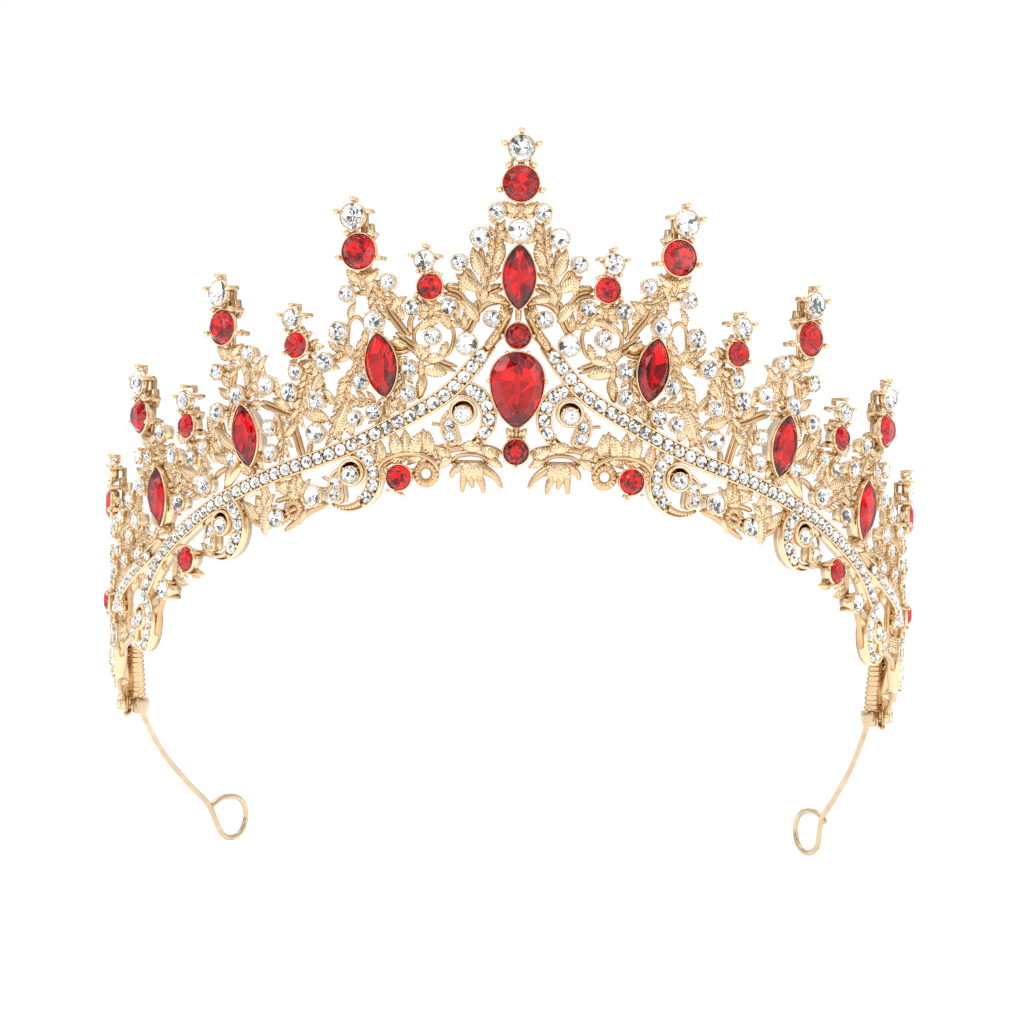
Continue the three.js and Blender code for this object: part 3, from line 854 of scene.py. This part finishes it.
def scroll(gold, stones, angle, height, turn):
    """A hooded stone with a C of small stones round its inner side, and a leaf of two more beyond it."""
    def spot(degrees, reach):
        a = math.radians(degrees - turn)
        return Vector((arc(angle) + reach * math.cos(a), height + reach * math.sin(a), 0.0))

    def on_bow(degrees):
        """The middle of the C, which runs outwards in its lower part."""
        return spot(degrees, 4.25 + 2.3 * (max(0.0, degrees - 150) / 130) ** 1.6)

    def rail_section(shoulder, top):
        return [(-0.3, 0), (-0.3, shoulder), (0, top), (0.3, shoulder), (0.3, 0)]

    def crystal(middle, diameter):
        small_crystal(gold, stones, degrees_at(middle.x), middle.y, diameter, CHANNEL_RADIUS)

    bow = [on_bow(degrees) for degrees in range(92, 318, 6)]
    sweep(gold, bow, channel_section(1.5, 0.4), size=lambda share: 1.0 - 2.1 * max(0.0, share - 0.6))
    for degrees in SCROLL_STONES:
        tiny_stone(stones, on_bow(degrees), 1.12)
    for degrees in SCROLL_GRAINS:
        middle = on_bow(degrees)
        beads_between(gold, middle, (on_bow(degrees + 4) - middle).normalized(), 0.85)
    # grains that run out along the tail
    for i in range(9):
        grain = on_bow(259 + 6 * i)
        ball(gold, bend, grain.x, grain.y, 2.2 - 0.06 * i, 0.45 - 0.03 * i, 8)
    # the hood is a thin ring with a floor, and its stone lies off its middle
    hood_radius, floor_back, floor_front = 2.3, 0.1, 0.5
    hood = [spot(0, 0) + hood_radius * Vector((math.cos(t), math.sin(t), 0.0)) for t in circle_turns(26)]
    sweep(gold, hood, rail_section(2.7, 2.95), closed=True)
    shell(gold, [bend(arc(angle), height, floor_back)]
          + [[bend(p.x, p.y, out) for p in hood] for out in (floor_back, floor_front)]
          + [bend(arc(angle), height, floor_front)])
    crystal(spot(-70, 0.55), 3.45)
    # the leaf: a rail round two stones, and a post beyond it
    rail = [spot(degrees, reach) for degrees, reach in (
        (20, 2.7), (-2, 4), (-20, 5), (-38, 5.9), (-54, 6.4), (-66, 5.6), (-62, 4.4), (-52, 3.5), (-30, 2.6))]
    sweep(gold, smooth(rail, 0.6), rail_section(2.2, 2.5))
    crystal(spot(-27, 3.5), 2.5)
    crystal(spot(-48, 5.1), 2.5)
    post = [spot(-14, 4.8), spot(-8, 5.6), spot(-4, 6.3)]
    sweep(gold, smooth(post, 0.5), round_section(0.35), 1.3)


for angle, height, turn in SCROLLS:
    scroll(gold, stones, angle, height, turn)
make_gold_pair("bands_and_scrolls", gold)
make_crystal_pair("band_crystals", stones)


# ---------------------------------------------------------------- stems, branches and leaves

# Lines of (angle, height)
STEMS = [
    [(5, 34.8), (5.6, 38), (6.6, 40.4), (7.4, 40.8)], [(4.2, 39), (4.8, 42), (5.1, 44.8)],
    [(7.6, 37.4), (8.8, 37.8), (9.8, 37.4)], [(1, 34.4), (2.4, 34.9), (4.2, 34.3), (5.4, 32.6)],
    [(1.2, 34.2), (2.1, 32), (2, 29.2), (3.2, 27.2)], [(1.2, 46), (2.3, 47), (3, 45.4)],
    [(14.1, 28.6), (14.3, 31), (13.8, 32.4)], [(19.2, 35.6), (20.6, 36.4), (21.8, 36.3)],
    [(18.6, 36.4), (17.9, 37.2)], [(42.3, 3.4), (44, 2.4), (44.8, 1.2)],
    [(55, 8), (56.4, 7.2), (58.4, 7.6), (60, 9)], [(55.6, -8), (55, -12)],
    [(12.8, 21.8), (12.2, 19.4), (13, 16.6)], [(45.2, -2), (44.6, -4)], [(57, 2.6), (60, 3.4), (63, 3.4)],
    [(7.4, 20), (6.2, 18.2)], [(37.4, 3.4), (38, 1)], [(28.2, 8.4), (28.6, 4.6)], [(70, -19.5), (70, -30)],
    [(76, -24), (77, -32.6)], [(91, -36.6), (91, -42)], [(86, -32.4), (86.6, -38.4)],
    [(66, -17), (66, -21)], [(98.6, -34), (98.4, -42), (98.2, -48.6)],
    [(96, -35), (95.8, -42), (96.2, -48.6)], [(95.8, -48.8), (98.6, -48.8)],
    [(96.8, -34), (97, -42), (97.2, -48.8)], [(95.4, -44.6), (98.8, -44.6)], [(94.8, -40.2), (98.8, -40.2)],
]
DOUBLE_STEMS = [
    [(2.2, 37.8), (3.4, 37), (4.6, 36)], [(5.2, 35), (5.6, 32.4), (6.4, 30), (6.8, 29)],
    [(8, 22.3), (10.2, 23.4), (12.6, 25), (14.8, 27.2), (16.4, 28.6)],
    [(14.5, 28), (15.8, 30.4), (17.2, 32.8), (17.6, 34.6)], [(14.2, 26.2), (15.8, 25.6), (17, 26.6)],
    [(5.4, 33), (7, 34.6), (8, 36.2), (9.8, 36.8)], [(30.5, 14.6), (30.9, 11.4), (30.2, 8.6), (29.4, 5.2)],
    [(30.2, 13.2), (32.4, 13.9), (34.4, 14.9), (36.4, 15.7)],
    [(41.4, 22.4), (41.9, 18.6), (41.6, 15.4), (42.4, 14)], [(43.8, 12), (43.2, 8), (42.2, 3), (42.6, -3)],
    [(51, 7), (50.2, 9.4), (50.6, 11)], [(59.2, 4.4), (60.4, 0), (60.4, -6), (60.8, -14), (61.4, -18)],
    [(82.4, -9), (82.8, -15), (83.3, -21.6)], [(83.5, -26.5), (84.6, -31.4)], [(53.2, -10.6), (54, -19)],
    [(1.1, 34), (1.9, 31), (2.6, 28.6)],
]
RINGS = [
    [(8.5, 29.4), (9.6, 31.2), (11.6, 31.2), (13.4, 29.8), (13.7, 27.4), (12.5, 25.4), (10.6, 24.5),
     (9.1, 25.2), (8.5, 27.2)],
    [(21.8, 31.9), (20.6, 30.6), (20.3, 27.6), (20.9, 25), (21.9, 23.8), (22.8, 25.2), (23, 28),
     (22.8, 30.6)],
]
ROPES = [
    [(26.4, 18), (27.2, 20.6), (28.2, 23.6)], [(2.5, 49.6), (2.3, 47.6), (3, 45)],
    [(39.8, 14.6), (40.6, 12), (41.2, 8.6)], [(54.2, 1.6), (53, -1.4), (53.4, -6)],
]
LAURELS = [
    [(15.6, 24.6), (15.2, 21), (15.2, 17.4), (15.9, 14.4)],
    [(20.3, 28), (20.9, 24), (21.8, 21.6), (22.8, 19.4), (23.2, 17), (24, 13), (24.6, 8.8)],
    [(18.8, 15.9), (21, 16.4), (23.2, 15.6)], [(33.4, 14.2), (32.7, 11), (32.4, 8), (33, 5)],
    [(36.4, 23.6), (36.8, 20), (37.6, 16.6)], [(17.2, 17), (17.7, 14.6), (18.8, 11.6)],
    [(44.2, 12), (45.3, 9.6), (46, 8.6)], [(5, 34.6), (4.4, 37.4), (3.6, 40.6), (3.2, 44), (3, 49.8)],
    [(11, 35), (11.5, 33), (11.9, 31.4)], [(7.1, 29.6), (7.9, 31.4), (8.6, 32.6)],
    [(20.4, 40.4), (19.7, 37.6), (19, 34.8), (18.6, 33)], [(16, 35), (17.6, 35.4), (19, 35.2)],
    [(21.6, 24.2), (23.4, 25), (24.8, 25.4)],
    [(29.3, 24), (28.8, 21.4), (29.2, 18.6), (29.8, 16), (30.2, 13.4)],
    [(40.8, 27), (39.2, 24), (38.4, 21), (38, 18)], [(40.4, 22.6), (42, 22), (43, 21.8)],
    [(48.6, 9), (48, 6.4), (47.4, 3.6), (46.9, 2.2)],
    [(46.8, -2.4), (48.6, -1.6), (50.6, -0.6), (53.4, 0.6)], [(60.4, 10), (58.6, 7.4), (57.4, 5), (57, 3)],
    [(50.4, 2.6), (51.6, 3.4), (54.4, 3.2)], [(63.6, 1), (66, -1), (70, -5.6), (75, -7.4), (79.6, -6.6)],
    [(62, -10), (66, -12.4), (70, -14), (73.9, -15), (77, -19.6), (80.8, -23.4)],
    [(82.6, -12), (87, -12.6), (90.4, -18.4), (94.2, -25), (96.8, -34), (98, -42)],
    [(85.6, -24), (88.4, -25.6), (92.4, -30.6), (93.4, -36)], [(84.6, -30), (85.4, -34.4)],
]
# Angle, height, direction (degrees clockwise from upwards) and length
LEAVES = [
    (3, 47, -75, 2.6), (4.6, 39.6, 22, 5.6), (3.4, 41, -24, 4.8), (5.2, 36.8, 55, 5.2),
    (7.4, 36.2, -6, 4.4), (1.6, 35.4, 85, 4.2), (1.6, 30.4, 10, 4), (5.2, 31, 40, 5.2),
    (10.2, 33.6, 60, 4.4), (12.2, 31.4, 30, 4.6), (9.2, 21.4, 84, 5.4), (12.6, 20.6, 0, 3.6),
    (12.8, 17, 0, 3.8), (17, 33, -50, 4), (21, 36.8, 20, 3.4), (24.8, 9.4, -24, 7.6), (25.4, 12.4, 74, 6.2),
    (31.4, 14.4, 62, 4.6), (32.4, 9.4, -50, 4), (41.4, 16.8, 65, 4.4), (40.9, 6.8, 52, 6.4),
    (41.4, 4.8, 78, 5.2), (40.8, 24.6, 80, 4.4), (48.6, 2, 72, 6), (50, 0.6, 50, 4.6), (22, 9.6, 20, 5.4),
    (28.2, 18, -30, 4.4), (33.2, 16.6, 20, 4), (44.8, 9, 30, 4.6), (52.6, 8, 10, 4), (54.6, -2, -60, 4.4),
    (61.4, -3, 40, 5), (65.4, -5, 60, 5), (69, -9, 30, 5), (58.8, 5.8, 60, 4.6), (80.6, -11, -40, 5),
    (83.6, -10, 40, 5), (79.2, -15, 0, 5), (88, -36.4, -20, 4.6), (94.6, -39.4, 10, 4.4),
    (66.8, -20, 30, 5), (74, -19, 60, 4.6), (35.4, -9.4, -4, 7), (34.4, -3, 30, 4.6), (36, -6.4, 55, 5.6),
    (28.2, -3, 30, 5.2), (30, -2.6, 10, 5), (31, -1.4, 60, 4.4), (28.4, -4.2, 150, 3.4),
    (44.6, -14, 55, 4.6), (46.8, -17.2, 90, 4), (50.6, -19.6, 70, 4.6), (51.6, -15.6, 60, 4.6),
    (52, -11.6, 120, 4), (55.8, -17, 40, 4), (33.6, -1, -60, 3.8), (57.6, -23.6, 130, 3.8),
    (9, 29.6, 30, 4.2), (13.4, 29.8, -60, 4), (9.4, 24.6, 100, 4.4), (11.4, 24.6, 60, 4),
    (9.2, 27.4, 160, 3.6), (13.6, 27, 200, 3.4), (12, 31.2, -80, 3.6), (6.4, 33.4, 60, 3.4),
    (4.6, 34.2, -10, 3.6), (15.2, 31.2, 20, 3.6), (20.4, 30, 175, 3.6), (22.8, 31.4, -20, 3.4),
    (23.2, 27.6, 200, 3.6), (24, 22.2, 80, 3.4), (26.4, 20.6, 150, 3.2), (19.4, 38.4, 20, 3.4),
    (20.2, 38, -30, 3.4), (12.8, 23.6, -30, 3.4), (14.6, 24.6, 130, 3.6), (24.4, 18, -60, 3.2),
    (27.4, 21.6, 30, 3.6), (28, 20, -20, 3.6), (37, 21.6, -30, 3.6), (36.6, 18, 60, 3.4),
    (39.2, 12.8, 20, 3.6), (42.4, 18.6, 30, 3.6), (42.2, 10.6, -20, 4), (43.6, 6, 40, 4),
    (45, 4.4, 10, 3.6), (48.8, 3.6, -40, 3.4), (52.6, 3.4, 160, 4), (54.8, 0.6, 20, 3.6), (59, 1, 20, 4),
    (61.4, 2.4, -30, 3.6), (62, -12, 30, 4), (65.6, -9.6, 10, 4), (71, -3.6, 20, 4), (75.4, -9.4, 30, 4.4),
    (70.6, -18, -30, 4), (84.8, -14.6, 30, 4.4), (86.6, -22.6, -20, 4), (91.6, -27.6, 20, 4.2),
    (90, -33, -10, 4.2), (81.6, -26, -30, 4), (78.6, -22.4, 10, 4.2), (20.6, 41, 195, 4),
    (19.6, 40.6, 175, 4), (17.6, 36.2, 20, 3.4), (27.4, 27.8, 130, 3.6), (26.4, 26.4, 100, 3.4),
    (30.6, 24.4, 160, 3.4), (13.6, 36, 190, 3.2), (24.4, 15.4, 40, 4.2), (22.6, 11, 60, 4.2),
    (34.6, 4.4, 60, 4), (36, 3, 30, 4.2), (38.4, 1.8, 40, 4),
]
SMOOTH_LEAVES = [
    (39.4, 4, 138, 6.4), (40.4, 4, 146, 5.6), (14.4, 26.4, 78, 4.2), (38.4, 15.4, -80, 3.4),
    (61.2, 8.6, 100, 4),
]

gold = Work()
for line in STEMS:
    stem(gold, line)
for line in DOUBLE_STEMS:
    double_stem(gold, line)
for line in RINGS:
    stem(gold, line, 0.42, closed=True)
for line in ROPES:
    rope(gold, line)
make_gold_pair("branches", gold)

gold = Work()
for line in LAURELS:
    laurel(gold, line)
make_gold_pair("leaf_sprigs", gold)

gold = Work()
for angle, height, direction, length in LEAVES:
    leaf(gold, angle, height, direction, length * 1.05, 0.42, random.uniform(-30, 30), 1.2)
for angle, height, direction, length in SMOOTH_LEAVES:
    leaf(gold, angle, height, direction, length, 0.4, 20, 1.4, veined=False)
make_gold_pair("single_leaves", gold)


def tie(work, first, second):
    """A curved branch between two places, with two leaves at its middle."""
    a, b = Vector((arc(first[0]), first[1])), Vector((arc(second[0]), second[1]))
    middle = (a + b) / 2 + Vector((a.y - b.y, b.x - a.x)) * random.uniform(-0.2, 0.2)
    bow = (degrees_at(middle.x), middle.y)
    stem(work, [first, bow, second], 0.5, 1.0)
    heading = math.degrees(math.atan2(b.x - a.x, b.y - a.y))
    for side in (-1, 1):
        leaf(work, *bow, heading + side * random.uniform(35, 75), 3.4, 0.42, side * -30, 1.2, 0.45)


def apart(first, second):
    """How far two places lie from each other on the flat pattern."""
    return math.hypot(arc(first[0] - second[0]), first[1] - second[1])


# At the sides each small crystal is tied to its nearest neighbours, as are some places on the side band
# and the spires
LONGEST_TIE = 11
gold = Work()
side_spots = [(angle, height) for angle, height, diameter in SMALL_CRYSTALS if angle > 58]
side_spots += [(82.0, -4.0), (83.5, -24.0), (61.5, 13.5), (66.0, -17.6), (76.0, -24.0), (87.0, -33.0)]
for i, spot in enumerate(side_spots):
    nearest = sorted(side_spots[i + 1:], key=lambda other: apart(other, spot))[:2]
    for other in nearest:
        if apart(other, spot) < LONGEST_TIE:
            tie(gold, spot, other)
make_gold_pair("side_branches", gold)


# ---------------------------------------------------------------- the lower edge

# Stems of the garland under the bands
GARLAND = [
    [(1.6, 6.6), (3.2, 7.6), (6, 7.9), (8.6, 7.2), (10.6, 6.6), (12.6, 5.8)],
    [(10.6, 5), (12.2, 6), (14.6, 5.8), (16.8, 4.8), (18.2, 3), (19.2, 0.6)],
    [(25.4, -3.2), (27.6, -4.4), (29.6, -6.2), (32, -8.4)], [(29.4, -2), (31.6, -2.2), (33.6, -3)],
    [(29, -3.8), (31, -4.6), (32, -6)], [(34.4, -8), (37, -7), (39, -4.6)],
    [(45, -13.6), (46.6, -13.2), (47.4, -13.8)], [(50.8, -15.6), (52.4, -18), (53.4, -19.6)],
    [(56, -21), (57.6, -24.6), (58.6, -30)], [(66.6, -30.4), (72, -32.4), (76.4, -35.4)],
    [(84, -38.4), (89, -41.6), (96, -46.4)],
]
# Tapered sweeps that hang like claws under the middle
CLAW_LINES = [
    [(5.2, 4.4), (3.6, 3.4), (2.4, 2), (1.7, 0.3)], [(5.6, 4.2), (4.8, 2.4), (4.3, 0.8), (4.1, -0.7)],
    [(6, 4.2), (6.6, 2.6), (6.8, 1), (6.9, -0.6)], [(6.4, 4.4), (7.6, 3.8), (8.2, 3), (8.4, 2)],
    [(5.8, 4.2), (5.8, 2.6), (5.7, 1.2), (5.5, 0.2)],
]
# Angle, height, direction, length, width, curl and distance out
LOWER_LEAVES = [
    (2.2, 5.8, 62, 4, 0.6, 20, 1.5), (4.4, 7.5, 84, 4.2, 0.55, 20, 1.5), (8.4, 6, 60, 3.6, 0.5, -20, 1.5),
    (8.2, 5.8, 128, 3.6, 0.5, 20, 1.5), (3.8, 5.6, -116, 3.4, 0.5, -20, 1.5),
    (17.6, 4.4, 14, 5, 0.45, 20, 1.3), (18.4, 3, -4, 5, 0.4, 20, 1.2), (12, 6.6, 4, 4.6, 0.5, 20, 1.3),
    (11, 6.4, 10, 4.4, 0.5, -20, 1.4), (17.4, 1.4, 20, 3.4, 0.5, 20, 1.4),
]
# Angle, height and length of the leaves
FANS = [
    (14.4, 5.4, 5), (29.6, -1.8, 3.8), (35.2, -4.6, 3.6), (50.8, -17.6, 3.4), (74, -31, 3.6),
    (90, -41, 3.4),
]


def open_eye(gold, angle, height):
    """An eye-shaped ring with a bar across it."""
    def line(*spots):
        return [(angle + across, height + up) for across, up in spots]
    stem(gold, line((-2.6, 0), (-1.2, 1.2), (1.0, 1.2), (2.6, 0)), 0.42, 1.5)
    stem(gold, line((-2.4, -0.2), (-1.0, -1.2), (1.0, -1.2), (2.4, -0.2)), 0.42, 1.3)
    stem(gold, line((-2.2, 0), (2.2, 0)), 0.3)


def leaf_curl(gold, angle, height, radius):
    """A leaf rolled into a small ring, ribbed round its edge."""
    x = arc(angle)
    ring = [Vector((x + radius * math.cos(t), height + radius * math.sin(t), 0.0)) for t in circle_turns(60)]
    sweep(gold, ring, round_section(0.84), lambda length: 1.2 + 0.2 * math.cos(9.5 * length), closed=True)


def fan(gold, angle, height, length):
    """Five curled leaves that spread upwards."""
    spread = ((-70, 50, 0.8), (-32, 30, 1.0), (4, 10, 1.1), (40, -30, 1.0), (76, -50, 0.85))
    for direction, curl, share in spread:
        leaf(gold, angle, height, direction, length * share, 0.5, curl, 1.3, 0.6)


gold = Work()
for line in GARLAND:
    stem(gold, line, 0.6, 1.2)
open_eye(gold, 6.0, 5.1)
for line in CLAW_LINES:
    sweep(gold, on_pattern(line, step=0.4), [(x, z * 0.8) for x, z in round_section(0.95)],
          lambda length: 1.4 + 0.12 * math.cos(9 * length), size=lambda share: 1.2 - 0.88 * share ** 1.3)
for direction in (216, 192, 168, 144):
    leaf(gold, 5.6, 5.0, direction, 3.6, 0.6, 0.0, 1.8, 0.6)
laurel(gold, [(8.2, 7.2), (10.0, 6.9), (12.0, 6.2), (13.8, 5.8)], 3.0)
for angle, height, direction, length, width, curl, out in LOWER_LEAVES:
    leaf(gold, angle, height, direction, length, width, curl, out)
leaf_curl(gold, 11.75, 2.7, 1.7)
leaf_curl(gold, 30.6, -4.4, 1.5)
stem(gold, [(10.0, 3.2), (10.7, 5.0), (12.6, 6.2), (15.2, 6.1), (17.5, 4.7), (18.3, 2.4)], 0.5, 2.0)
for angle, height, length in FANS:
    fan(gold, angle, height, length)
for side in (-1, 1):
    leaf(gold, 14.4 + side, 5.6, side * 16, 5.2, 0.5, side * 20, 1.5, 0.7)
ball(gold, bend, arc(14.8), -1.3, 1.8, 0.5)
ball(gold, bend, arc(16.8), -0.6, 1.8, 0.4)
# a ribbed sleeve behind the end of the casting, over the top of the wire arm
path = on_pattern([(95.0, -34.6), (95.6, -38.0), (96.7, -42.0), (97.3, -45.0)], step=0.3)
sweep(gold, path, [(-1.25, -2.7), (-1.4, 1.4), (1.4, 1.4), (1.25, -2.7)],
      size=lambda share: 0.94 + 0.06 * math.cos(2 * math.pi * 10 * share))
make_gold_pair("lower_edge", gold)

gold = Work()
for side in (-1, 1):
    leaf(gold, side * 0.5, 9.4, side * 30, 2.4, 0.6, side * 30, 1.8)
    leaf(gold, side * 0.9, 45.6, side * 35, 2.4, 0.6, side * 30, 1.8)
stem(gold, [(0, 53.4), (0, 50.0)], 0.6, 1.6)
stem(gold, [(0, 12.4), (0, 9.2)], 0.7, 1.4)
stem(gold, [(0, 34.4), (0, 31.0)], 0.6, 1.4)
make_gold("centre_stems", gold)


# ---------------------------------------------------------------- the wire arms

def wire_arm(side, loop_angle):
    """The sprung arm, with its loop bent back on itself."""
    label = "left" if side < 0 else "right"
    loop_height, loop_radius, wire_radius = -74.4, 4.7, 0.68

    def place(angle, height, radius=ARM_RADIUS):
        a = math.radians(side * angle)
        return Vector((radius * math.sin(a), -radius * math.cos(a), height))
    line = [place(95.4, -38), place(96.6, -43), place(CRIMP_ANGLE, CRIMP_HEIGHT)]
    for share, height in ((0.11, -51), (0.37, -58.7), (0.63, -65.8), (0.81, -71)):
        line.append(place(CRIMP_ANGLE + share * (loop_angle - CRIMP_ANGLE), height))
    centre = place(loop_angle, loop_height)
    rearwards = place(loop_angle + 90, 0, 1.0)
    for turn in range(-60, 181, 30):
        a = math.radians(turn)
        line.append(centre + loop_radius * (rearwards * math.sin(a) - Vector((0, 0, math.cos(a)))))
    for forwards, drop in ((3.2, 0.1), (5.2, 0.9), (6.5, 1.7)):
        line.append(centre - forwards * rearwards + Vector((0, 0, loop_radius - drop)))
    work = Work()
    tube(work, smooth(line, 0.8), wire_radius, 14)
    make_piece("arm_wire_" + label + "_round", work, [WIRE_GILT], "gilt_wire", ["arm_wire_" + label])


def crimp_tab(side):
    """A soft-edged square tab, dented where it was pressed on the wire."""
    label = "left" if side < 0 else "right"
    half_width, half_height, half_depth, edge = 1.7, 1.8, 1.4, 0.28
    squareness, sides = 8, 32
    place = seat(side * CRIMP_ANGLE, CRIMP_HEIGHT, 0.0, ARM_RADIUS)
    work = Work()
    rings = []
    profile = [(-half_depth, edge), (edge - half_depth, 0), (half_depth - edge, 0), (half_depth, edge)]
    for out, inset in profile:
        ring = []
        for t in circle_turns(sides):
            x, y = math.cos(t + math.pi / sides), math.sin(t + math.pi / sides)
            k = (abs(x) ** squareness + abs(y) ** squareness) ** (-1 / squareness)
            ring.append(place(x * k * (half_width - inset), y * k * (half_height - inset), out))
        rings.append(ring)
    shell(work, [place(0, 0, -half_depth)] + rings + [place(0, 0, half_depth - 0.25)])
    bar(work, place, (0.0, -1.5), (0.0, 1.5), 1.2, half_depth - 0.3, half_depth + 1.0)
    make_piece("crimp_tab_" + label + "_pressed", work, [WIRE_GILT], "gilt_wire", ["crimp_tab_" + label])


for side, loop_angle in ((-1, 129.0), (1, 119.5)):
    wire_arm(side, loop_angle)
    crimp_tab(side)


# ---------------------------------------------------------------- floor, light and camera

def make_floor():
    """A pale floor just under the arms."""
    size, level, count = 3.0, CAD_BOX[0][2] - 0.0012, 24
    row = count + 1
    points = [(size * (2 * i / count - 1), size * (2 * j / count - 1), level)
              for j in range(row) for i in range(row)]
    faces = [(j * row + i, j * row + i + 1, (j + 1) * row + i + 1, (j + 1) * row + i)
             for j in range(count) for i in range(count)]
    mesh = bpy.data.meshes.new("floor")
    mesh.from_pydata(points, [], faces)
    mesh.materials.append(matt_white("white_floor"))
    floor = bpy.data.objects.new("floor", mesh)
    bpy.context.scene.collection.objects.link(floor)


def make_world():
    """White behind and patchy towards the front, so that polished faces show some contrast."""
    white = (1.0, 1.0, 1.0)
    world = bpy.data.worlds.new("studio")
    bpy.context.scene.world = world
    world.use_nodes = True
    tree = world.node_tree
    direction = add_node(tree, "TexCoord")["Generated"]
    axes = add_node(tree, "SeparateXYZ", {"Vector": direction})
    backwards = add_node(tree, "MapRange", {"From Min": -0.45, "From Max": 0.15, "Value": axes["Y"]},
                         interpolation_type="SMOOTHSTEP")["Result"]
    patches = add_node(tree, "TexNoise", {"Scale": 4.2, "Detail": 1.0, "Vector": direction})["Fac"]
    room = two_tone(tree, patches, (0.17, 0.16, 0.15), white, (0.37, 0.47))
    blend = add_node(tree, "Mix", {"B": (*white, 1.0), "Factor": backwards, "A": room}, data_type="RGBA")
    fill(tree, tree.nodes["Background"], {"Strength": 1.03, "Color": blend["Result"]})


def soft_box(name, spot, size, power):
    """A rectangular lamp that faces the tiara."""
    lamp = bpy.data.lights.new(name, "AREA")
    lamp.shape = "RECTANGLE"
    lamp.size, lamp.size_y = size
    lamp.energy = power
    holder = bpy.data.objects.new(name, lamp)
    holder.location = spot
    holder.rotation_euler = (-Vector(spot)).to_track_quat("-Z", "Y").to_euler()
    bpy.context.scene.collection.objects.link(holder)


def make_camera():
    """The view from the front, level with the tiara's middle and turned a little in its frame."""
    bearing = math.radians(-0.7)
    roll = math.radians(1.1)
    distance, sideways, height = 0.673, 0.0005, -0.0041
    camera = bpy.data.cameras.new("front")
    camera.lens = 112.0
    camera.sensor_width = 36.0
    right = Vector((math.cos(bearing), math.sin(bearing), 0.0))
    back = Vector((math.sin(bearing), -math.cos(bearing), 0.0))
    up = Vector((0.0, 0.0, 1.0))
    tilted_right = math.cos(roll) * right + math.sin(roll) * up
    tilted_up = math.cos(roll) * up - math.sin(roll) * right
    matrix = Matrix((tilted_right, tilted_up, back)).transposed().to_4x4()
    matrix.translation = back * distance + right * sideways + up * height
    holder = bpy.data.objects.new("camera", camera)
    holder.matrix_world = matrix
    bpy.context.scene.collection.objects.link(holder)
    bpy.context.scene.camera = holder


make_camera()
make_floor()
make_world()
soft_box("key", (-0.9, -1.2, 1.1), (0.9, 0.9), 5.5)
soft_box("fill", (1.2, -1.0, 0.5), (0.7, 1.1), 3)
soft_box("top", (0.0, 0.2, 1.4), (1.2, 1.2), 5)
bpy.context.scene.view_settings.view_transform = "Standard"
